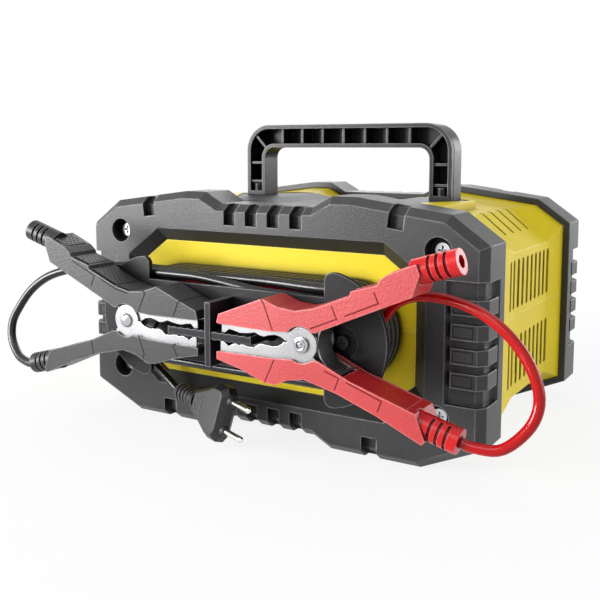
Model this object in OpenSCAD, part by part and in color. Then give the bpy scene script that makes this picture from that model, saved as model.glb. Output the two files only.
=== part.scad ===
// Portable battery charger: octagonal case with two end bumpers, a cable winder
// on one end, a recessed control fascia on the other, a carry handle, two jaw
// clamps and a two-pin mains lead.

/* [Case] */
// Width of the bumper faces inside their edge chamfers
face_w = 290.4; // [280:0.1:320]
// Height of the bumper shoulders above the foot line
face_h = 150.6; // [145:0.1:170]
// Depth of the case over both bumpers
case_d = 210; // [200:1:240]
// Width of the chamfer round the bumper faces
edge = 4.8; // [3:0.1:6]
// Depth of that chamfer
edge_d = 6; // [4:0.5:8]
// Depth of each bumper
bumper_d = 32; // [28:1:36]
// Thickness of the bumper front plates
plate_d = 14; // [12.5:0.5:16]
// Shell wall thickness
wall = 3; // [2:0.25:3.5]
// How far the shell waist lies inside the rims at the sides
waist_in = 5.2; // [3:0.1:7]
// Height of the seam between the two shells
seam_z = 77; // [70:1:82]
// Clearance between fitted shell parts
fit = 0.3; // [0.2:0.05:0.4]

/* [Bumpers] */
// Half width of the dip in the top edge
dip_x = 36.4; // [32:0.1:40]
// Depth of that dip
dip_drop = 7.4; // [5:0.1:8]
// Half width of the window at its top edge
win_top_x = 86.7; // [80:0.1:92]
// Half width of the window at its sides
win_x = 113.7; // [110:0.1:116]
// Height of the window top edge
win_top = 129.6; // [126:0.1:131]
// Height of the window bottom edge
win_bot = 19.8; // [18:0.1:22]
// Corner height of the window at the top
win_cut_top = 19.7; // [15:0.1:24]
// Corner height of the window at the bottom
win_cut_bot = 19.7; // [15:0.1:24]
// Width of the window bevel
bevel = 8.2; // [6:0.1:9]
// Depth of the window bevel
bevel_d = 7; // [5:0.1:8]
// Diameter of the screw pockets
pocket_d = 16.6; // [15:0.1:18]
// Depth of the screw pockets
pocket_depth = 10; // [8:0.1:11]
// Distance of the screws from the side edge of the face
screw_in = 24.3; // [23:0.1:26]
// Height of the upper screws
screw_hi = 126.2; // [123:0.1:128]
// Height of the lower screws
screw_lo = 28; // [26:0.1:31]
// Width of the notches in the rims
notch_w = 8.8; // [5:0.1:10]
// Spacing of the centre notches
notch_pitch = 17; // [14:0.5:18]
// Depth of the notches down the face
notch_h = 9; // [5:0.1:10]
// Number of grip ribs on each bumper side
grip_n = 4; // [3:1:4]
// Height of one grip rib
grip_h = 9.4; // [6:0.1:10]
// Spacing of the grip ribs
grip_pitch = 14.2; // [13:0.1:15]
// Depth of the grip recess
grip_depth = 3; // [1.5:0.1:3.4]
// Depth of the rim notches
notch_d = 5; // [3:0.1:6]

/* [Vents] */
// Number of slots in each side group
vent_n = 10; // [6:1:10]
// Spacing of the side slots
vent_pitch = 9.6; // [9:0.1:9.8]
// Width of the side slots
vent_w = 4.6; // [3:0.1:6]
// Length of the side slots
vent_l = 32.5; // [24:0.5:34]
// Distance from the seam to the middle of the upper slots
vent_up = 20.3; // [19.8:0.1:22]
// Distance from the seam to the middle of the lower slots
vent_low = 30.3; // [28:0.1:31]
// Number of louvres on each upper corner facet
louvre_n = 4; // [2:1:5]
// Spacing of the louvres
louvre_pitch = 16.5; // [10:0.5:17]
// Width of the louvres
louvre_w = 3; // [1.5:0.1:4]

/* [Handle] */
// Outer width of the handle
handle_w = 171.4; // [165:0.1:178]
// Height of the handle above the saddle plate
handle_h = 54.5; // [50:0.5:60]
// Depth of the handle
handle_d = 18; // [16:0.5:22]
// Width of the handle legs
leg_w = 16.7; // [15:0.1:19]
// Height of the handle beam
beam_h = 17.3; // [15:0.1:20]
// Outer corner radius of the handle
handle_r = 20; // [14:0.5:22]
// Flange thickness of the handle section
flange = 3; // [2.5:0.1:4]
// Depth of the open channel in the handle
channel_d = 14; // [10:0.5:15]
// Number of ribs in the handle beam
rib_n = 7; // [5:2:7]
// Spacing of the ribs in the handle beam
rib_pitch = 17.8; // [16:0.1:18]
// Thickness of the saddle plate
saddle_t = 2.6; // [2.2:0.1:3.2]
// Half length of the saddle plate to its points
saddle_x = 97; // [94:0.5:98]
// How far the deck lies below the bumper shoulders
deck_drop = 2.5; // [1:0.1:3]
// Width of the saddle plate
saddle_w = 89; // [80:1:95]

/* [Winder] */
// Half distance between the drum ends
drum_x = 65.6; // [62:0.1:68]
// Height of the drum axis
drum_z = 75; // [73:0.1:76]
// Outer radius of the drum
drum_r = 19.5; // [18:0.1:20]
// Wall thickness of the drum
drum_wall = 3; // [2.5:0.1:4]
// Gap from the case to the flange for the windings
drum_gap = 37; // [36:0.1:37.4]
// Radius of the flanges
flange_r = 40; // [38:0.5:42]
// Thickness of the flanges
flange_t = 3.5; // [3:0.1:3.6]
// Diameter of the charging leads
lead_d = 6; // [5:0.1:6]
// Diameter of the mains cord
mains_d = 5.7; // [5:0.1:6]
// Width of one winding across the drum
turn_w = 6.15; // [6.05:0.01:6.16]

/* [Clamps] */
// Thickness of the clamp grips
clamp_t = 23.5; // [22:0.1:23.5]
// Cheek thickness of the clamp grips
cheek = 1.4; // [1.2:0.1:2]
// Sheet thickness of the jaws
sheet = 1.2; // [0.8:0.1:1.2]
// Distance of the clamp pivots from the middle
pivot_x = 64.6; // [64:0.1:65]
// Height of the clamp pivots
pivot_z = 76.8; // [76.5:0.1:77]
// Diameter of the pivot rivet
rivet_d = 5; // [4:0.1:6]
// Radius of the jaw discs at the pivot
disc_r = 9.5; // [8.5:0.1:9.8]
// Outer radius of the clamp boots
boot_r = 7; // [6:0.1:7]
// Running clearance of the pivot
run = 0.05; // [0.02:0.01:0.1]

/* [Controls] */
// Diameter of the push buttons
button_d = 15; // [10:0.5:17]
// Spacing of the push buttons
button_pitch = 24; // [20:0.5:26]
// Push button travel
button_travel = 1.2; // [0.5:0.1:1.4]
// Width of the display
display_w = 78; // [60:1:86]
// Height of the display
display_h = 36; // [26:1:40]
// Width of the power rocker
rocker_w = 15; // [12:0.5:18]
// Height of the power rocker
rocker_h = 21; // [18:0.5:24]

/* [Inside] */
// Main board width
board_w = 200; // [180:1:206]
// Main board depth
board_l = 128; // [120:1:134]
// Board thickness
board_t = 1.6; // [1.2:0.1:2]
// Height of the board above the foot line
board_z = 16; // [14:0.5:18]
// Fan frame size
fan_s = 70; // [60:1:72]
// Fan frame thickness
fan_t = 15; // [13:0.5:18]
// Number of fan blades
blade_n = 7; // [5:1:9]

/* [Mains plug] */
// Plug pin diameter
pin_d = 4; // [3.9:0.05:4.1]
// Plug pin length
pin_l = 19; // [18:0.5:19.5]
// Distance between the plug pins
pin_pitch = 18.6; // [18:0.1:19.2]
// Plug body length
plug_l = 36; // [32:0.5:40]
// Plug body width
plug_w = 35.3; // [30:0.5:37]
// Plug body thickness
plug_t = 13.7; // [12:0.5:15]

/* [Hidden] */
eps = 1;
charcoal = "#4b4c4f";
yellow = "#e9cf1f";
black = "#1d1d1f";
silver = "#c9ccd0";

// The clamps reach this far in front of the cable-side face
flange_front = -(drum_gap - bevel_d) - flange_t;
clamp_back = flange_front - 1;
clamp_front = clamp_back - clamp_t;
rivet_front = clamp_front - 1.5;
// Frame: the middle of the whole depth is y = 0 and the feet stand on z = 0
frame_y = -(case_d + rivet_front) / 2;
frame_z = edge;

// Outline helpers. A half outline runs from the top middle to the bottom middle
function unit(v) = v / norm(v);
function both(h) = concat(h, [for (i = [len(h) - 1:-1:0]) [-h[i][0], h[i][1]]]);
function miter(a, b, c, e) =
  let (u = unit(b - a), v = unit(c - b), m = [-u[1] - v[1], u[0] + v[0]])
  b + m * (2 * e / (m * m));
function grow(p, e) = let (n = len(p))
  [for (i = [0:n - 1]) miter(p[(i + n - 1) % n], p[i], p[(i + 1) % n], e)];

// Face outline of the bumpers
ridge_x = dip_x + 13.6;
shoulder_x = ridge_x + 15;
brow_x = face_w / 2 - 20.4;
brow_z = face_h - 8;
cheek_z = brow_z - 14.6;
keel_z = 16;
foot_x = face_w / 2 - 36.2;
arch_x = dip_x + 0.9;
arch_z = 6.7;
face = both([[dip_x, face_h - dip_drop], [ridge_x, face_h], [shoulder_x, face_h],
  [brow_x, brow_z], [face_w / 2, cheek_z], [face_w / 2, keel_z], [foot_x, 0],
  [ridge_x, 0], [arch_x, arch_z]]);
// Waist outline of the shells, with the same number of points
waist_x = face_w / 2 - waist_in;
fold_x = brow_x - 12.6;
fold_z = brow_z - 1.8;
waist_z = cheek_z - 9.8;
belly_z = 3;
deck_z = face_h - deck_drop;
waist = both([[dip_x, face_h - dip_drop], [ridge_x, deck_z], [shoulder_x, deck_z],
  [fold_x, fold_z], [waist_x, waist_z], [waist_x, keel_z + 7],
  [foot_x - 4, belly_z], [ridge_x, belly_z], [arch_x, arch_z]]);
window = both([[win_top_x, win_top], [win_x, win_top - win_cut_top],
  [win_x, win_bot + win_cut_bot], [win_top_x + 0.8, win_bot]]);
inner = grow(window, -bevel);
panel = grow(inner, -fit);

// Places along the depth
nose_y = plate_d + fit;
flare_y = 82;
flare_back = 51;
rear_rim = case_d - bumper_d;
screw_x = face_w / 2 - screw_in;
slope = bevel / bevel_d;

// End faces: a case outline is cut into convex parts, as its dip and arch fold in
function cap(n) = n != 18 ? [[for (i = [0:n - 1]) i]] :
  [[0, 1, 2], [0, 2, 3], [0, 3, 4], [5, 6, 8], [6, 7, 8],
    [15, 16, 17], [14, 15, 17], [13, 14, 17], [9, 11, 12], [9, 10, 11],
    [0, 4, 5, 8, 9, 12, 13, 17]];
// A solid through outlines that lie at [y, outline]
module loft(s) {
  n = len(s[0][1]);
  k = len(s);
  pts = [for (q = s) for (p = q[1]) [p[0], q[0], p[1]]];
  sides = [for (j = [0:k - 2]) for (i = [0:n - 1])
    let (a = j * n + i, b = j * n + (i + 1) % n)
    each [[a, a + n, b + n], [a, b + n, b]]];
  polyhedron(pts, concat(cap(n), [for (f = cap(n))
    [for (i = [len(f) - 1:-1:0]) (k - 1) * n + f[i]]], sides), 4);
}
// Extrudes an x-z drawing from y0 to y1
module slab(y0, y1) {
  translate([0, y1, 0]) rotate([90, 0, 0]) linear_extrude(y1 - y0) children();
}
// Extrudes a y-z drawing from x0 to x1
module slab_x(x0, x1) {
  translate([x0, 0, 0]) rotate([90, 0, 90]) linear_extrude(x1 - x0) children();
}
// Cylinder along y from y0 to y1
module rod(x, z, y0, y1, r) {
  translate([x, y1, z]) rotate([90, 0, 0]) cylinder(h = y1 - y0, r = r, $fn = 48);
}
module frame() {
  translate([0, frame_y, frame_z]) children();
}
module rear() {
  translate([0, case_d, 0]) mirror([0, 1, 0]) children();
}
module sides() {
  children();
  mirror([1, 0, 0]) children();
}

// ---------------------------------------------------------------- bumpers
screw_r = 2;
notch_lip = 1.4;
// A notch in the rim at [x, z], turned by a degrees; its floor runs beside the chamfer
module notch(x, z, w, a = 0) {
  translate([x, 0, z]) rotate([0, a, 0]) slab_x(-w / 2, w / 2)
    polygon([[-eps, -notch_h], [notch_d, -notch_h], [notch_d, -notch_lip],
      [notch_d + edge_d, edge - notch_lip], [notch_d + edge_d, edge + 2 * eps],
      [-eps, edge + 2 * eps]]);
}
module foot_notch(x, z, w) {
  translate([0, 0, z]) mirror([0, 0, 1]) notch(x, 0, w);
}
grip_x = face_w / 2 - 20.2;
grip_mid = seam_z - 3;
grip_z = grip_mid + (grip_n - 1) * grip_pitch / 2;
module grip_recess() {
  difference() {
    translate([0, 0, grip_mid - 36]) linear_extrude(72)
      polygon([[grip_x, -eps], [grip_x + grip_depth, grip_depth],
        [face_w / 2 - grip_depth / 2, grip_depth],
        [face_w / 2 + edge - grip_depth, edge_d + grip_depth / 2],
        [face_w / 2 + edge - grip_depth, bumper_d - 10],
        [face_w / 2 + edge + eps, bumper_d - 7], [face_w / 2 + edge + eps, -eps]]);
    for (i = [0:grip_n - 1])
      translate([grip_x + 4.5, -2 * eps, grip_z - i * grip_pitch - grip_h / 2])
        cube([40, bumper_d - 9, grip_h]);
  }
}
module bumper() {
  difference() {
    loft([[0, face], [edge_d, grow(face, edge)], [bumper_d, grow(face, edge)]]);
    loft([[plate_d, grow(face, fit)], [bumper_d + eps, grow(face, fit)]]);
    loft([[-eps, grow(window, slope)], [bevel_d, inner], [plate_d + eps, inner]]);
    for (s = [-1, 1]) {
      for (z = [screw_lo, screw_hi]) {
        rod(s * screw_x, z, -eps, pocket_depth, pocket_d / 2);
        rod(s * screw_x, z, 0, plate_d + eps, screw_r + 0.1);
      }
      for (i = [0.5, 1.5]) notch(s * i * notch_pitch, face_h - dip_drop, notch_w);
      notch(s * (brow_x - 30), face_h - 4, notch_w + 1.4, s * 7.6);
      for (i = [0.5, 1.5]) foot_notch(s * i * notch_pitch, arch_z, notch_w);
      foot_notch(s * (foot_x - 31), 0, notch_w + 1.4);
    }
    sides() grip_recess();
  }
}
module cable_side_bumper() color(charcoal) frame() bumper();
module panel_side_bumper() color(charcoal) frame() rear() bumper();

// ---------------------------------------------------------------- shells
module shell_form(e, y0, y1) {
  loft([[y0, grow(face, e)], [bumper_d, grow(face, e)], [flare_y, grow(waist, e)],
    [case_d - flare_back, grow(waist, e)], [rear_rim, grow(face, e)],
    [y1, grow(face, e)]]);
}
saddle_y = case_d / 2 + 0.5;
saddle_flat = saddle_x - 32;
saddle_tip = saddle_y + 12;
saddle_nose = bumper_d + 4;
ledge = 3;
module hexagon(e) {
  w = saddle_w / 2 + e;
  polygon([[saddle_x + e, saddle_tip], [saddle_flat, saddle_y + w],
    [-saddle_flat, saddle_y + w], [-saddle_x - e, saddle_tip],
    [-saddle_flat, saddle_y - w], [-ridge_x, saddle_nose - e],
    [ridge_x, saddle_nose - e], [saddle_flat, saddle_y - w]]);
}
saddle_top = deck_z - 0.6;
saddle_dip = face_h - dip_drop + 1.2;
module top_band(top, low, x0, x1, bottom) {
  slab(0, case_d) polygon([[-150, bottom], [-150, top], [-x1, top], [-x0, low],
    [x0, low], [x1, top], [150, top], [150, bottom]]);
}
module saddle_form(e, t, up) {
  difference() {
    translate([0, 0, face_h - 30]) linear_extrude(60) hexagon(e);
    top_band(saddle_top - t, saddle_dip - t, dip_x - 4.4, ridge_x - 5, 100);
    translate([-200, 0, saddle_top + up]) cube([400, case_d, 60]);
    slab(0, case_d) polygon([[4.4 - dip_x, saddle_dip + up],
      [dip_x - 4.4, saddle_dip + up], [ridge_x - 5, saddle_top + up],
      [ridge_x - 5, 250], [5 - ridge_x, 250], [5 - ridge_x, saddle_top + up]]);
  }
}
// The room inside the shells stops under the saddle plate
module cavity() {
  intersection() {
    shell_form(-wall, nose_y + wall, case_d - nose_y - wall);
    translate([-200, 0, -20]) cube([400, case_d, saddle_top - saddle_t + 18]);
  }
}
module plateau() {
  difference() {
    intersection() {
      translate([0, 0, fold_z - 6]) linear_extrude(deck_z - fold_z + 6) {
        hexagon(ledge);
        translate([-saddle_x - ledge, bumper_d + fit])
          square([2 * (saddle_x + ledge), saddle_tip - bumper_d - fit]);
      }
      top_band(deck_z, face_h - dip_drop - 2, shoulder_x - 3, shoulder_x, fold_z - 8);
    }
    cavity();
  }
}
vent_y = case_d - 95.5;
louvre_y = case_d / 2 - 7;
module vents(z) {
  for (i = [0:vent_n - 1])
    translate([0, vent_y + (i - (vent_n - 1) / 2) * vent_pitch, z])
      slab_x(waist_x - 12, waist_x + 12) {
        square([vent_w, vent_l - vent_w], center = true);
        for (s = [-1, 1]) translate([0, s * (vent_l - vent_w) / 2])
          circle(d = vent_w, $fn = 24);
      }
}
louvre_a = atan2(fold_z - waist_z, waist_x - fold_x);
louvre_l = 25;
module louvres() {
  for (i = [0:louvre_n - 1])
    translate([fold_x, louvre_y + i * louvre_pitch, fold_z]) rotate([0, louvre_a, 0])
      translate([-4, -louvre_w / 2, -1.6]) cube([louvre_l, louvre_w, 12]);
}
boss_r = 5.5;
boss_l = 24;
module shell_body() {
  difference() {
    union() {
      difference() {
        shell_form(0, nose_y, case_d - nose_y);
        cavity();
        loft([[nose_y - eps, grow(panel, -wall)],
          [nose_y + wall + eps, grow(panel, -wall)]]);
      }
      difference() {
        loft([[bevel_d, panel], [nose_y + wall, panel]]);
        loft([[bevel_d + wall, grow(panel, -wall)],
          [nose_y + wall + eps, grow(panel, -wall)]]);
      }
      plateau();
      for (s = [-1, 1]) translate([s * leg_x - 8, handle_y - 9, screw_seat])
        cube([16, 18, fold_z - screw_seat + 5]);
      for (s = [-1, 1]) for (z = [screw_lo, screw_hi]) {
        rod(s * screw_x, z, nose_y + eps, nose_y + boss_l, boss_r);
        rod(s * screw_x, z, case_d - nose_y - boss_l, case_d - nose_y - eps, boss_r);
      }
    }
    loft([[case_d - nose_y - wall - eps, grow(panel, -wall)],
      [case_d - nose_y + eps, grow(panel, -wall)]]);
    for (s = [-1, 1]) for (z = [screw_lo, screw_hi])
      rod(s * screw_x, z, 0, case_d, screw_r + 0.05);
    saddle_form(fit, saddle_t, 10);
    for (z = [seam_z - vent_low, seam_z + vent_up]) sides() vents(z);
    sides() louvres();
  }
}
module half_space(z0, z1) {
  translate([-200, -eps, z0]) cube([400, case_d + 2 * eps, z1 - z0]);
}
leg_x = (handle_w - leg_w) / 2;
handle_y = saddle_y + 11.8;
screw_gap = 4.5;
module handle_bores(r, z0, z1) {
  for (s = [-1, 1]) for (t = [-1, 1])
    translate([s * leg_x, handle_y + t * screw_gap, z0])
      cylinder(h = z1 - z0, r = r, $fn = 32);
}
module case_upper_shell() color(yellow) frame() difference() {
  intersection() {
    shell_body();
    half_space(seam_z, face_h + 20);
  }
  handle_bores(screw_r + 0.1, seam_z + 10, face_h + 20);
}
post_x = board_w / 2 - 8;
post_y = board_l / 2 - 8;
board_y = case_d / 2 + 3;
module posts(r, z0, z1) {
  for (s = [-1, 1]) for (t = [-1, 1])
    translate([s * post_x, board_y + t * post_y, z0])
      cylinder(h = z1 - z0, r = r, $fn = 32);
}
fan_y = vent_y + 5.5;
fan_z = 72;
fan_x1 = waist_x - wall;
fan_x0 = fan_x1 - fan_t;
module case_lower_shell() color(yellow) frame() union() {
  intersection() {
    shell_body();
    half_space(-10, seam_z);
  }
  difference() {
    posts(4, belly_z + 0.3, board_z);
    posts(screw_r + 0.05, belly_z + wall + 1, board_z + eps);
  }
  intersection() {
    for (t = [-1, 1]) translate([fan_x0 - 4, fan_y + t * (fan_s / 2 - 8) - 3, 0])
      cube([fan_t + 8, 6, fan_z - fan_s / 2]);
    shell_form(-1, nose_y, case_d - nose_y);
  }
}
module saddle_plate() color(black) frame() difference() {
  saddle_form(0, saddle_t, 0);
  handle_bores(screw_r + 0.1, 100, face_h + 20);
}

// ---------------------------------------------------------------- handle
module arch2d(w, top, r, base) {
  translate([-w, base]) square([2 * w, top - r - base]);
  translate([r - w, base]) square([2 * (w - r), top - base]);
  for (s = [-1, 1]) translate([s * (w - r), top - r]) circle(r, $fn = 64);
}
module tie(a, b, t) {
  d = unit(b - a);
  n = [-d[1], d[0]] * t / 2;
  polygon([a + n, b + n, b - n, a - n]);
}
handle_y0 = handle_y - handle_d / 2;
handle_top = saddle_top + handle_h;
in_w = handle_w / 2 - leg_w;
in_top = handle_top - beam_h;
in_r = 8;
rib_t = 1.8;
rib_in = 1.2;
leg_ribs = [10, 24.5];
foot_h = 3.5;
stud_h = 9;
stud_r = 4;
module handle_ring(e) {
  difference() {
    arch2d(handle_w / 2 - e, handle_top - e, handle_r - e, saddle_top + foot_h - flange + e);
    arch2d(in_w + e, in_top + e, in_r + e, saddle_top - eps);
  }
}
module carry_handle() color(charcoal) frame() difference() {
  union() {
    difference() {
      slab(handle_y0, handle_y0 + handle_d) difference() {
        arch2d(handle_w / 2, handle_top, handle_r, saddle_top);
        arch2d(in_w, in_top, in_r, saddle_top - eps);
      }
      slab(handle_y0 - eps, handle_y0 + channel_d) handle_ring(flange);
    }
    slab(handle_y0 + rib_in, handle_y0 + channel_d + 0.5) intersection() {
      handle_ring(flange - eps);
      union() {
        for (i = [0:rib_n - 1])
          translate([(i - (rib_n - 1) / 2) * rib_pitch - rib_t / 2, in_top])
            square([rib_t, beam_h]);
        for (s = [-1, 1]) {
          for (h = leg_ribs) translate([s * leg_x - leg_w / 2, saddle_top + h])
            square([leg_w, rib_t]);
          tie([s * (in_w - 1), in_top - 1],
            [s * (handle_w / 2 - 2), handle_top - 2], rib_t);
        }
      }
    }
    for (s = [-1, 1]) for (t = [-1, 1])
      translate([s * leg_x, handle_y + t * screw_gap, saddle_top])
        cylinder(h = stud_h, r = stud_r, $fn = 32);
  }
  slab(handle_y0 + 3.4, handle_y0 + 4.2) difference() {
    arch2d(handle_w / 2 + 5, handle_top + 5, handle_r + 5, saddle_top - 5);
    arch2d(handle_w / 2 - 0.5, handle_top - 0.5, handle_r - 0.5, saddle_top - 6);
  }
  handle_bores(screw_r + 0.05, saddle_top - eps, saddle_top + stud_h - 1);
}
head_r = 4;
head_h = 3;
module handle_screws() color(silver) frame() {
  for (s = [-1, 1]) for (t = [-1, 1])
    translate([s * leg_x, handle_y + t * screw_gap, screw_seat]) {
      translate([0, 0, -head_h]) cylinder(h = head_h, r = head_r, $fn = 32);
      cylinder(h = saddle_top + stud_h - 3 - screw_seat, r = screw_r, $fn = 32);
    }
}
screw_seat = fold_z - 2;
module bumper_screw() {
  difference() {
    rod(0, 0, pocket_depth - head_h, pocket_depth, head_r + 0.6);
    for (a = [0, 90]) rotate([0, a, 0]) translate([0, pocket_depth - head_h, 0])
      cube([5.4, 2.4, 1.1], center = true);
  }
  rod(0, 0, pocket_depth, nose_y + boss_l - 4, screw_r);
}
module bumper_screws() color(silver) frame() {
  for (s = [-1, 1]) for (z = [screw_lo, screw_hi]) {
    translate([s * screw_x, 0, z]) bumper_screw();
    rear() translate([s * screw_x, 0, z]) bumper_screw();
  }
}

// ---------------------------------------------------------------- winder
module half_disc(r, c) {
  intersection() {
    circle(r, $fn = 96);
    translate([0, -r]) square([r, 2 * r]);
    union() {
      translate([c, -r + 0.6]) square([r, 2 * r - 1.2]);
      translate([0, -r + c + 0.6]) square([r, 2 * (r - c - 0.6)]);
      for (s = [-1, 1]) translate([c, s * (r - c - 0.6)]) circle(c, $fn = 32);
    }
  }
}
wind_front = bevel_d - drum_gap;
hub_x = 12;
pocket_r = 9.5;
module winder() {
  translate([drum_x, 0, drum_z]) difference() {
    union() {
      slab(wind_front - eps, bevel_d) difference() {
        half_disc(drum_r, 0.1);
        translate([-eps, 0]) circle(drum_r - drum_wall, $fn = 64);
      }
      slab(flange_front, wind_front) half_disc(flange_r, 5);
      rod(hub_x, 0, wind_front - eps, bevel_d, 5);
    }
    rod(hub_x, 0, flange_front - eps, flange_front + 1.6, pocket_r);
    rod(hub_x, 0, flange_front, bevel_d + eps, screw_r + 0.1);
  }
}
module winder_left() color(charcoal) frame() mirror([1, 0, 0]) winder();
module winder_right() color(charcoal) frame() winder();
module winder_screws() color(silver) frame() for (s = [-1, 1])
  translate([s * (drum_x + hub_x), 0, drum_z]) {
    difference() {
      rod(0, 0, flange_front - 0.6, flange_front + 1.6, head_r);
      for (a = [0, 90]) rotate([0, a, 0]) translate([0, flange_front - 0.6, 0])
        cube([5, 2.2, 1], center = true);
    }
    rod(0, 0, flange_front + 1.6, bevel_d, screw_r);
  }
// Core between the drums: a hollow box with a front plate that holds the windings
core_lip = 5.5;
core_wall = 3;
slot_w = lead_d + 0.6;
slot_x0 = -12;
slot_x1 = 56;
module core_slot(y, z) {
  translate([slot_x0, y - slot_w / 2, drum_z + z - core_wall])
    cube([slot_x1 - slot_x0, slot_w, 2 * core_wall]);
}
module winder_core() color(charcoal) frame() difference() {
  union() {
    slab(flange_front, wind_front)
      translate([-drum_x, drum_z - drum_r - core_lip])
        square([2 * drum_x, 2 * (drum_r + core_lip)]);
    translate([0, 0, drum_z]) slab(wind_front - eps, bevel_d) difference() {
      square([2 * drum_x, 2 * drum_r], center = true);
      square([2 * drum_x + eps, 2 * (drum_r - core_wall)], center = true);
    }
  }
  mirror([1, 0, 0]) {
    core_slot(slot_y(0), drum_r);
    core_slot(slot_y(4), drum_r);
  }
  core_slot(3, -drum_r);
}
bar_n = 24;
bar_z0 = 72;
bar_z1 = 77.2;
tooth = 2.55;
dock_front = clamp_front + 1;
dock_t = 4;
dock_z = 55.5;
dock_h = 39;
module clamp_dock() color(charcoal) frame() {
  translate([-dock_t / 2, dock_front - 0.6, dock_z])
    cube([dock_t, flange_front - dock_front + 0.6, dock_h]);
  slab(dock_front, clamp_back)
    polygon(concat([for (i = [0:bar_n])
        [(i - bar_n / 2) * tooth, bar_z1 - (i % 2) * 0.6]],
      [for (i = [bar_n:-1:0]) [(i - bar_n / 2) * tooth, bar_z0 + (i % 2) * 0.6]]));
  for (s = [-1, 1]) translate([s * 22 - 2, clamp_back - 2, bar_z0 + 0.6])
    cube([4, flange_front - clamp_back + 2, bar_z1 - bar_z0 - 1.2]);
}

// Winding layers: [first slot, number of slots, inner radius, outer radius]
layer = lead_d;
r_in = drum_r + 0.05;
r_mid = drum_r + layer;
r_out = drum_r + 2 * layer;
module stadium(r) {
  square([2 * drum_x, 2 * r], center = true);
  for (s = [-1, 1]) translate([s * drum_x, 0]) circle(r, $fn = 96);
}
module wind_ring(slot, n, ra, rb) {
  translate([0, 0, drum_z])
    slab(wind_front + slot * turn_w, wind_front + (slot + n) * turn_w)
      difference() {
        stadium(rb);
        stadium(ra);
      }
}
function slot_y(i) = wind_front + (i + 0.5) * turn_w;
module black_coil() color(black) frame() difference() {
  union() {
    wind_ring(0, 1, r_in, r_out);
    wind_ring(1, 2, r_mid, r_out);
  }
  translate([-drum_x - 60, slot_y(2) - turn_w / 2, drum_z + r_mid - 0.1])
    cube([54, turn_w, layer + eps]);
  translate([drum_x + 10, slot_y(1) - turn_w / 2, drum_z - 12])
    cube([40, turn_w, 60]);
}
module red_coil() color("#c8222a") frame() wind_ring(1, 4, r_in, r_mid);
module mains_coil() color(black) frame() difference() {
  union() {
    wind_ring(5, 1, r_in, r_out);
    wind_ring(3, 2, r_mid, r_out);
  }
  translate([-drum_x - 50, slot_y(3) - turn_w / 2, drum_z - 50])
    cube([50 - 10, turn_w, 50]);
}
// Cable outlets: a block in each drum, with a tapered nipple for each cord
outlet_l = 8;
nipple_l = 20;
nipple_r = 4.8;
outlet_z = 9.5;
module nipple(y, z, d) {
  translate([drum_x, y, drum_z + z]) rotate([0, -90, 0]) difference() {
    union() {
      translate([0, 0, -2]) cylinder(h = 4, r = 2.9, $fn = 32);
      cylinder(h = nipple_l, r1 = nipple_r, r2 = d / 2 + 0.8, $fn = 32);
    }
    translate([0, 0, nipple_l - 6]) cylinder(h = 7, r = d / 2 + 0.1, $fn = 32);
  }
}
module outlet_block() {
  translate([drum_x, 0, drum_z]) slab(wind_front, bevel_d) difference() {
    intersection() {
      translate([-eps, 0]) circle(drum_r - drum_wall - 0.1, $fn = 64);
      translate([0, -20]) square([outlet_l, 40]);
    }
    translate([hub_x, 0]) circle(5.1, $fn = 48);
  }
}
module cable_glands() color(black) frame() {
  outlet_block();
  nipple(wind_front + nipple_r + 0.1, outlet_z, lead_d);
  nipple(slot_y(4), outlet_z, lead_d);
  mirror([1, 0, 0]) {
    outlet_block();
    nipple(bevel_d - nipple_r - 0.1, -outlet_z, mains_d);
  }
}

// ---------------------------------------------------------------- cords
function curve(a, b, c, d, t) = 0.5 * ((2 * b) + (c - a) * t
  + (2 * a - 5 * b + 4 * c - d) * t * t + (3 * b - a - 3 * c + d) * t * t * t);
function route(p, m) = let (n = len(p)) concat([for (i = [0:n - 2]) for (k = [0:m - 1])
  curve(p[max(i - 1, 0)], p[i], p[i + 1], p[min(i + 2, n - 1)], k / m)], [p[n - 1]]);
module cord(p, d, m = 2, sides = 10) {
  q = route(p, m);
  n = len(q);
  pts = [for (i = [0:n - 1])
    let (t = unit(q[min(i + 1, n - 1)] - q[max(i - 1, 0)]),
      s = unit(cross(t, [0, 1, 0])), u = cross(s, t))
    for (k = [0:sides - 1]) q[i] + d / 2 * (cos(k * 360 / sides) * s
      + sin(k * 360 / sides) * u)];
  polyhedron(pts, concat([[for (k = [sides - 1:-1:0]) k]],
    [[for (k = [0:sides - 1]) (n - 1) * sides + k]],
    [for (i = [0:n - 2]) for (k = [0:sides - 1])
      let (a = i * sides + k, b = i * sides + (k + 1) % sides)
      each [[a, b, b + sides], [a, b + sides, a + sides]]]), 4);
}
red_route = [[142.2, -50, 39.35], [155.3, -50, 35.85], [162, -50, 34.3], [176, -48, 35], [188, -45, 46],
  [192.5, -42, 58], [190, -40, 71], [180, -36, 85], [166, -33, 96],
  [150, -30, 102.5], [132, -27, 105], [117, -24, 103.5], [104, -21, 97],
  [95.5, -20.7, 86], [91.5, -20.7, 76]];
black_route = [[-142.2, -50, 39.35], [-155.3, -50, 35.85], [-162, -50, 34.3], [-177, -47, 37],
  [-188.5, -43, 47], [-191, -40, 59], [-187, -37, 69.5], [-179, -33, 82],
  [-166, -30, 92], [-148, -28, 98.5], [-128, -25, 102], [-106, -18.5, 103.6],
  [-86, -14.8, 103.5], [-72, -14.6, 103.5]];
mains_route = [[-94.1, -8.5, 75], [-94.3, -8.5, 66], [-94.2, -8.5, 56],
  [-92.5, -8.5, 47], [-88.5, -8.4, 39.5], [-83, -8.3, 34], [-77, -8.3, 29.8],
  [-70.5, -8.8, 25.4], [-65, -9.6, 22], [-60.1, -11, 20.5], [-52.8, -13.7, 20.1]];
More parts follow.
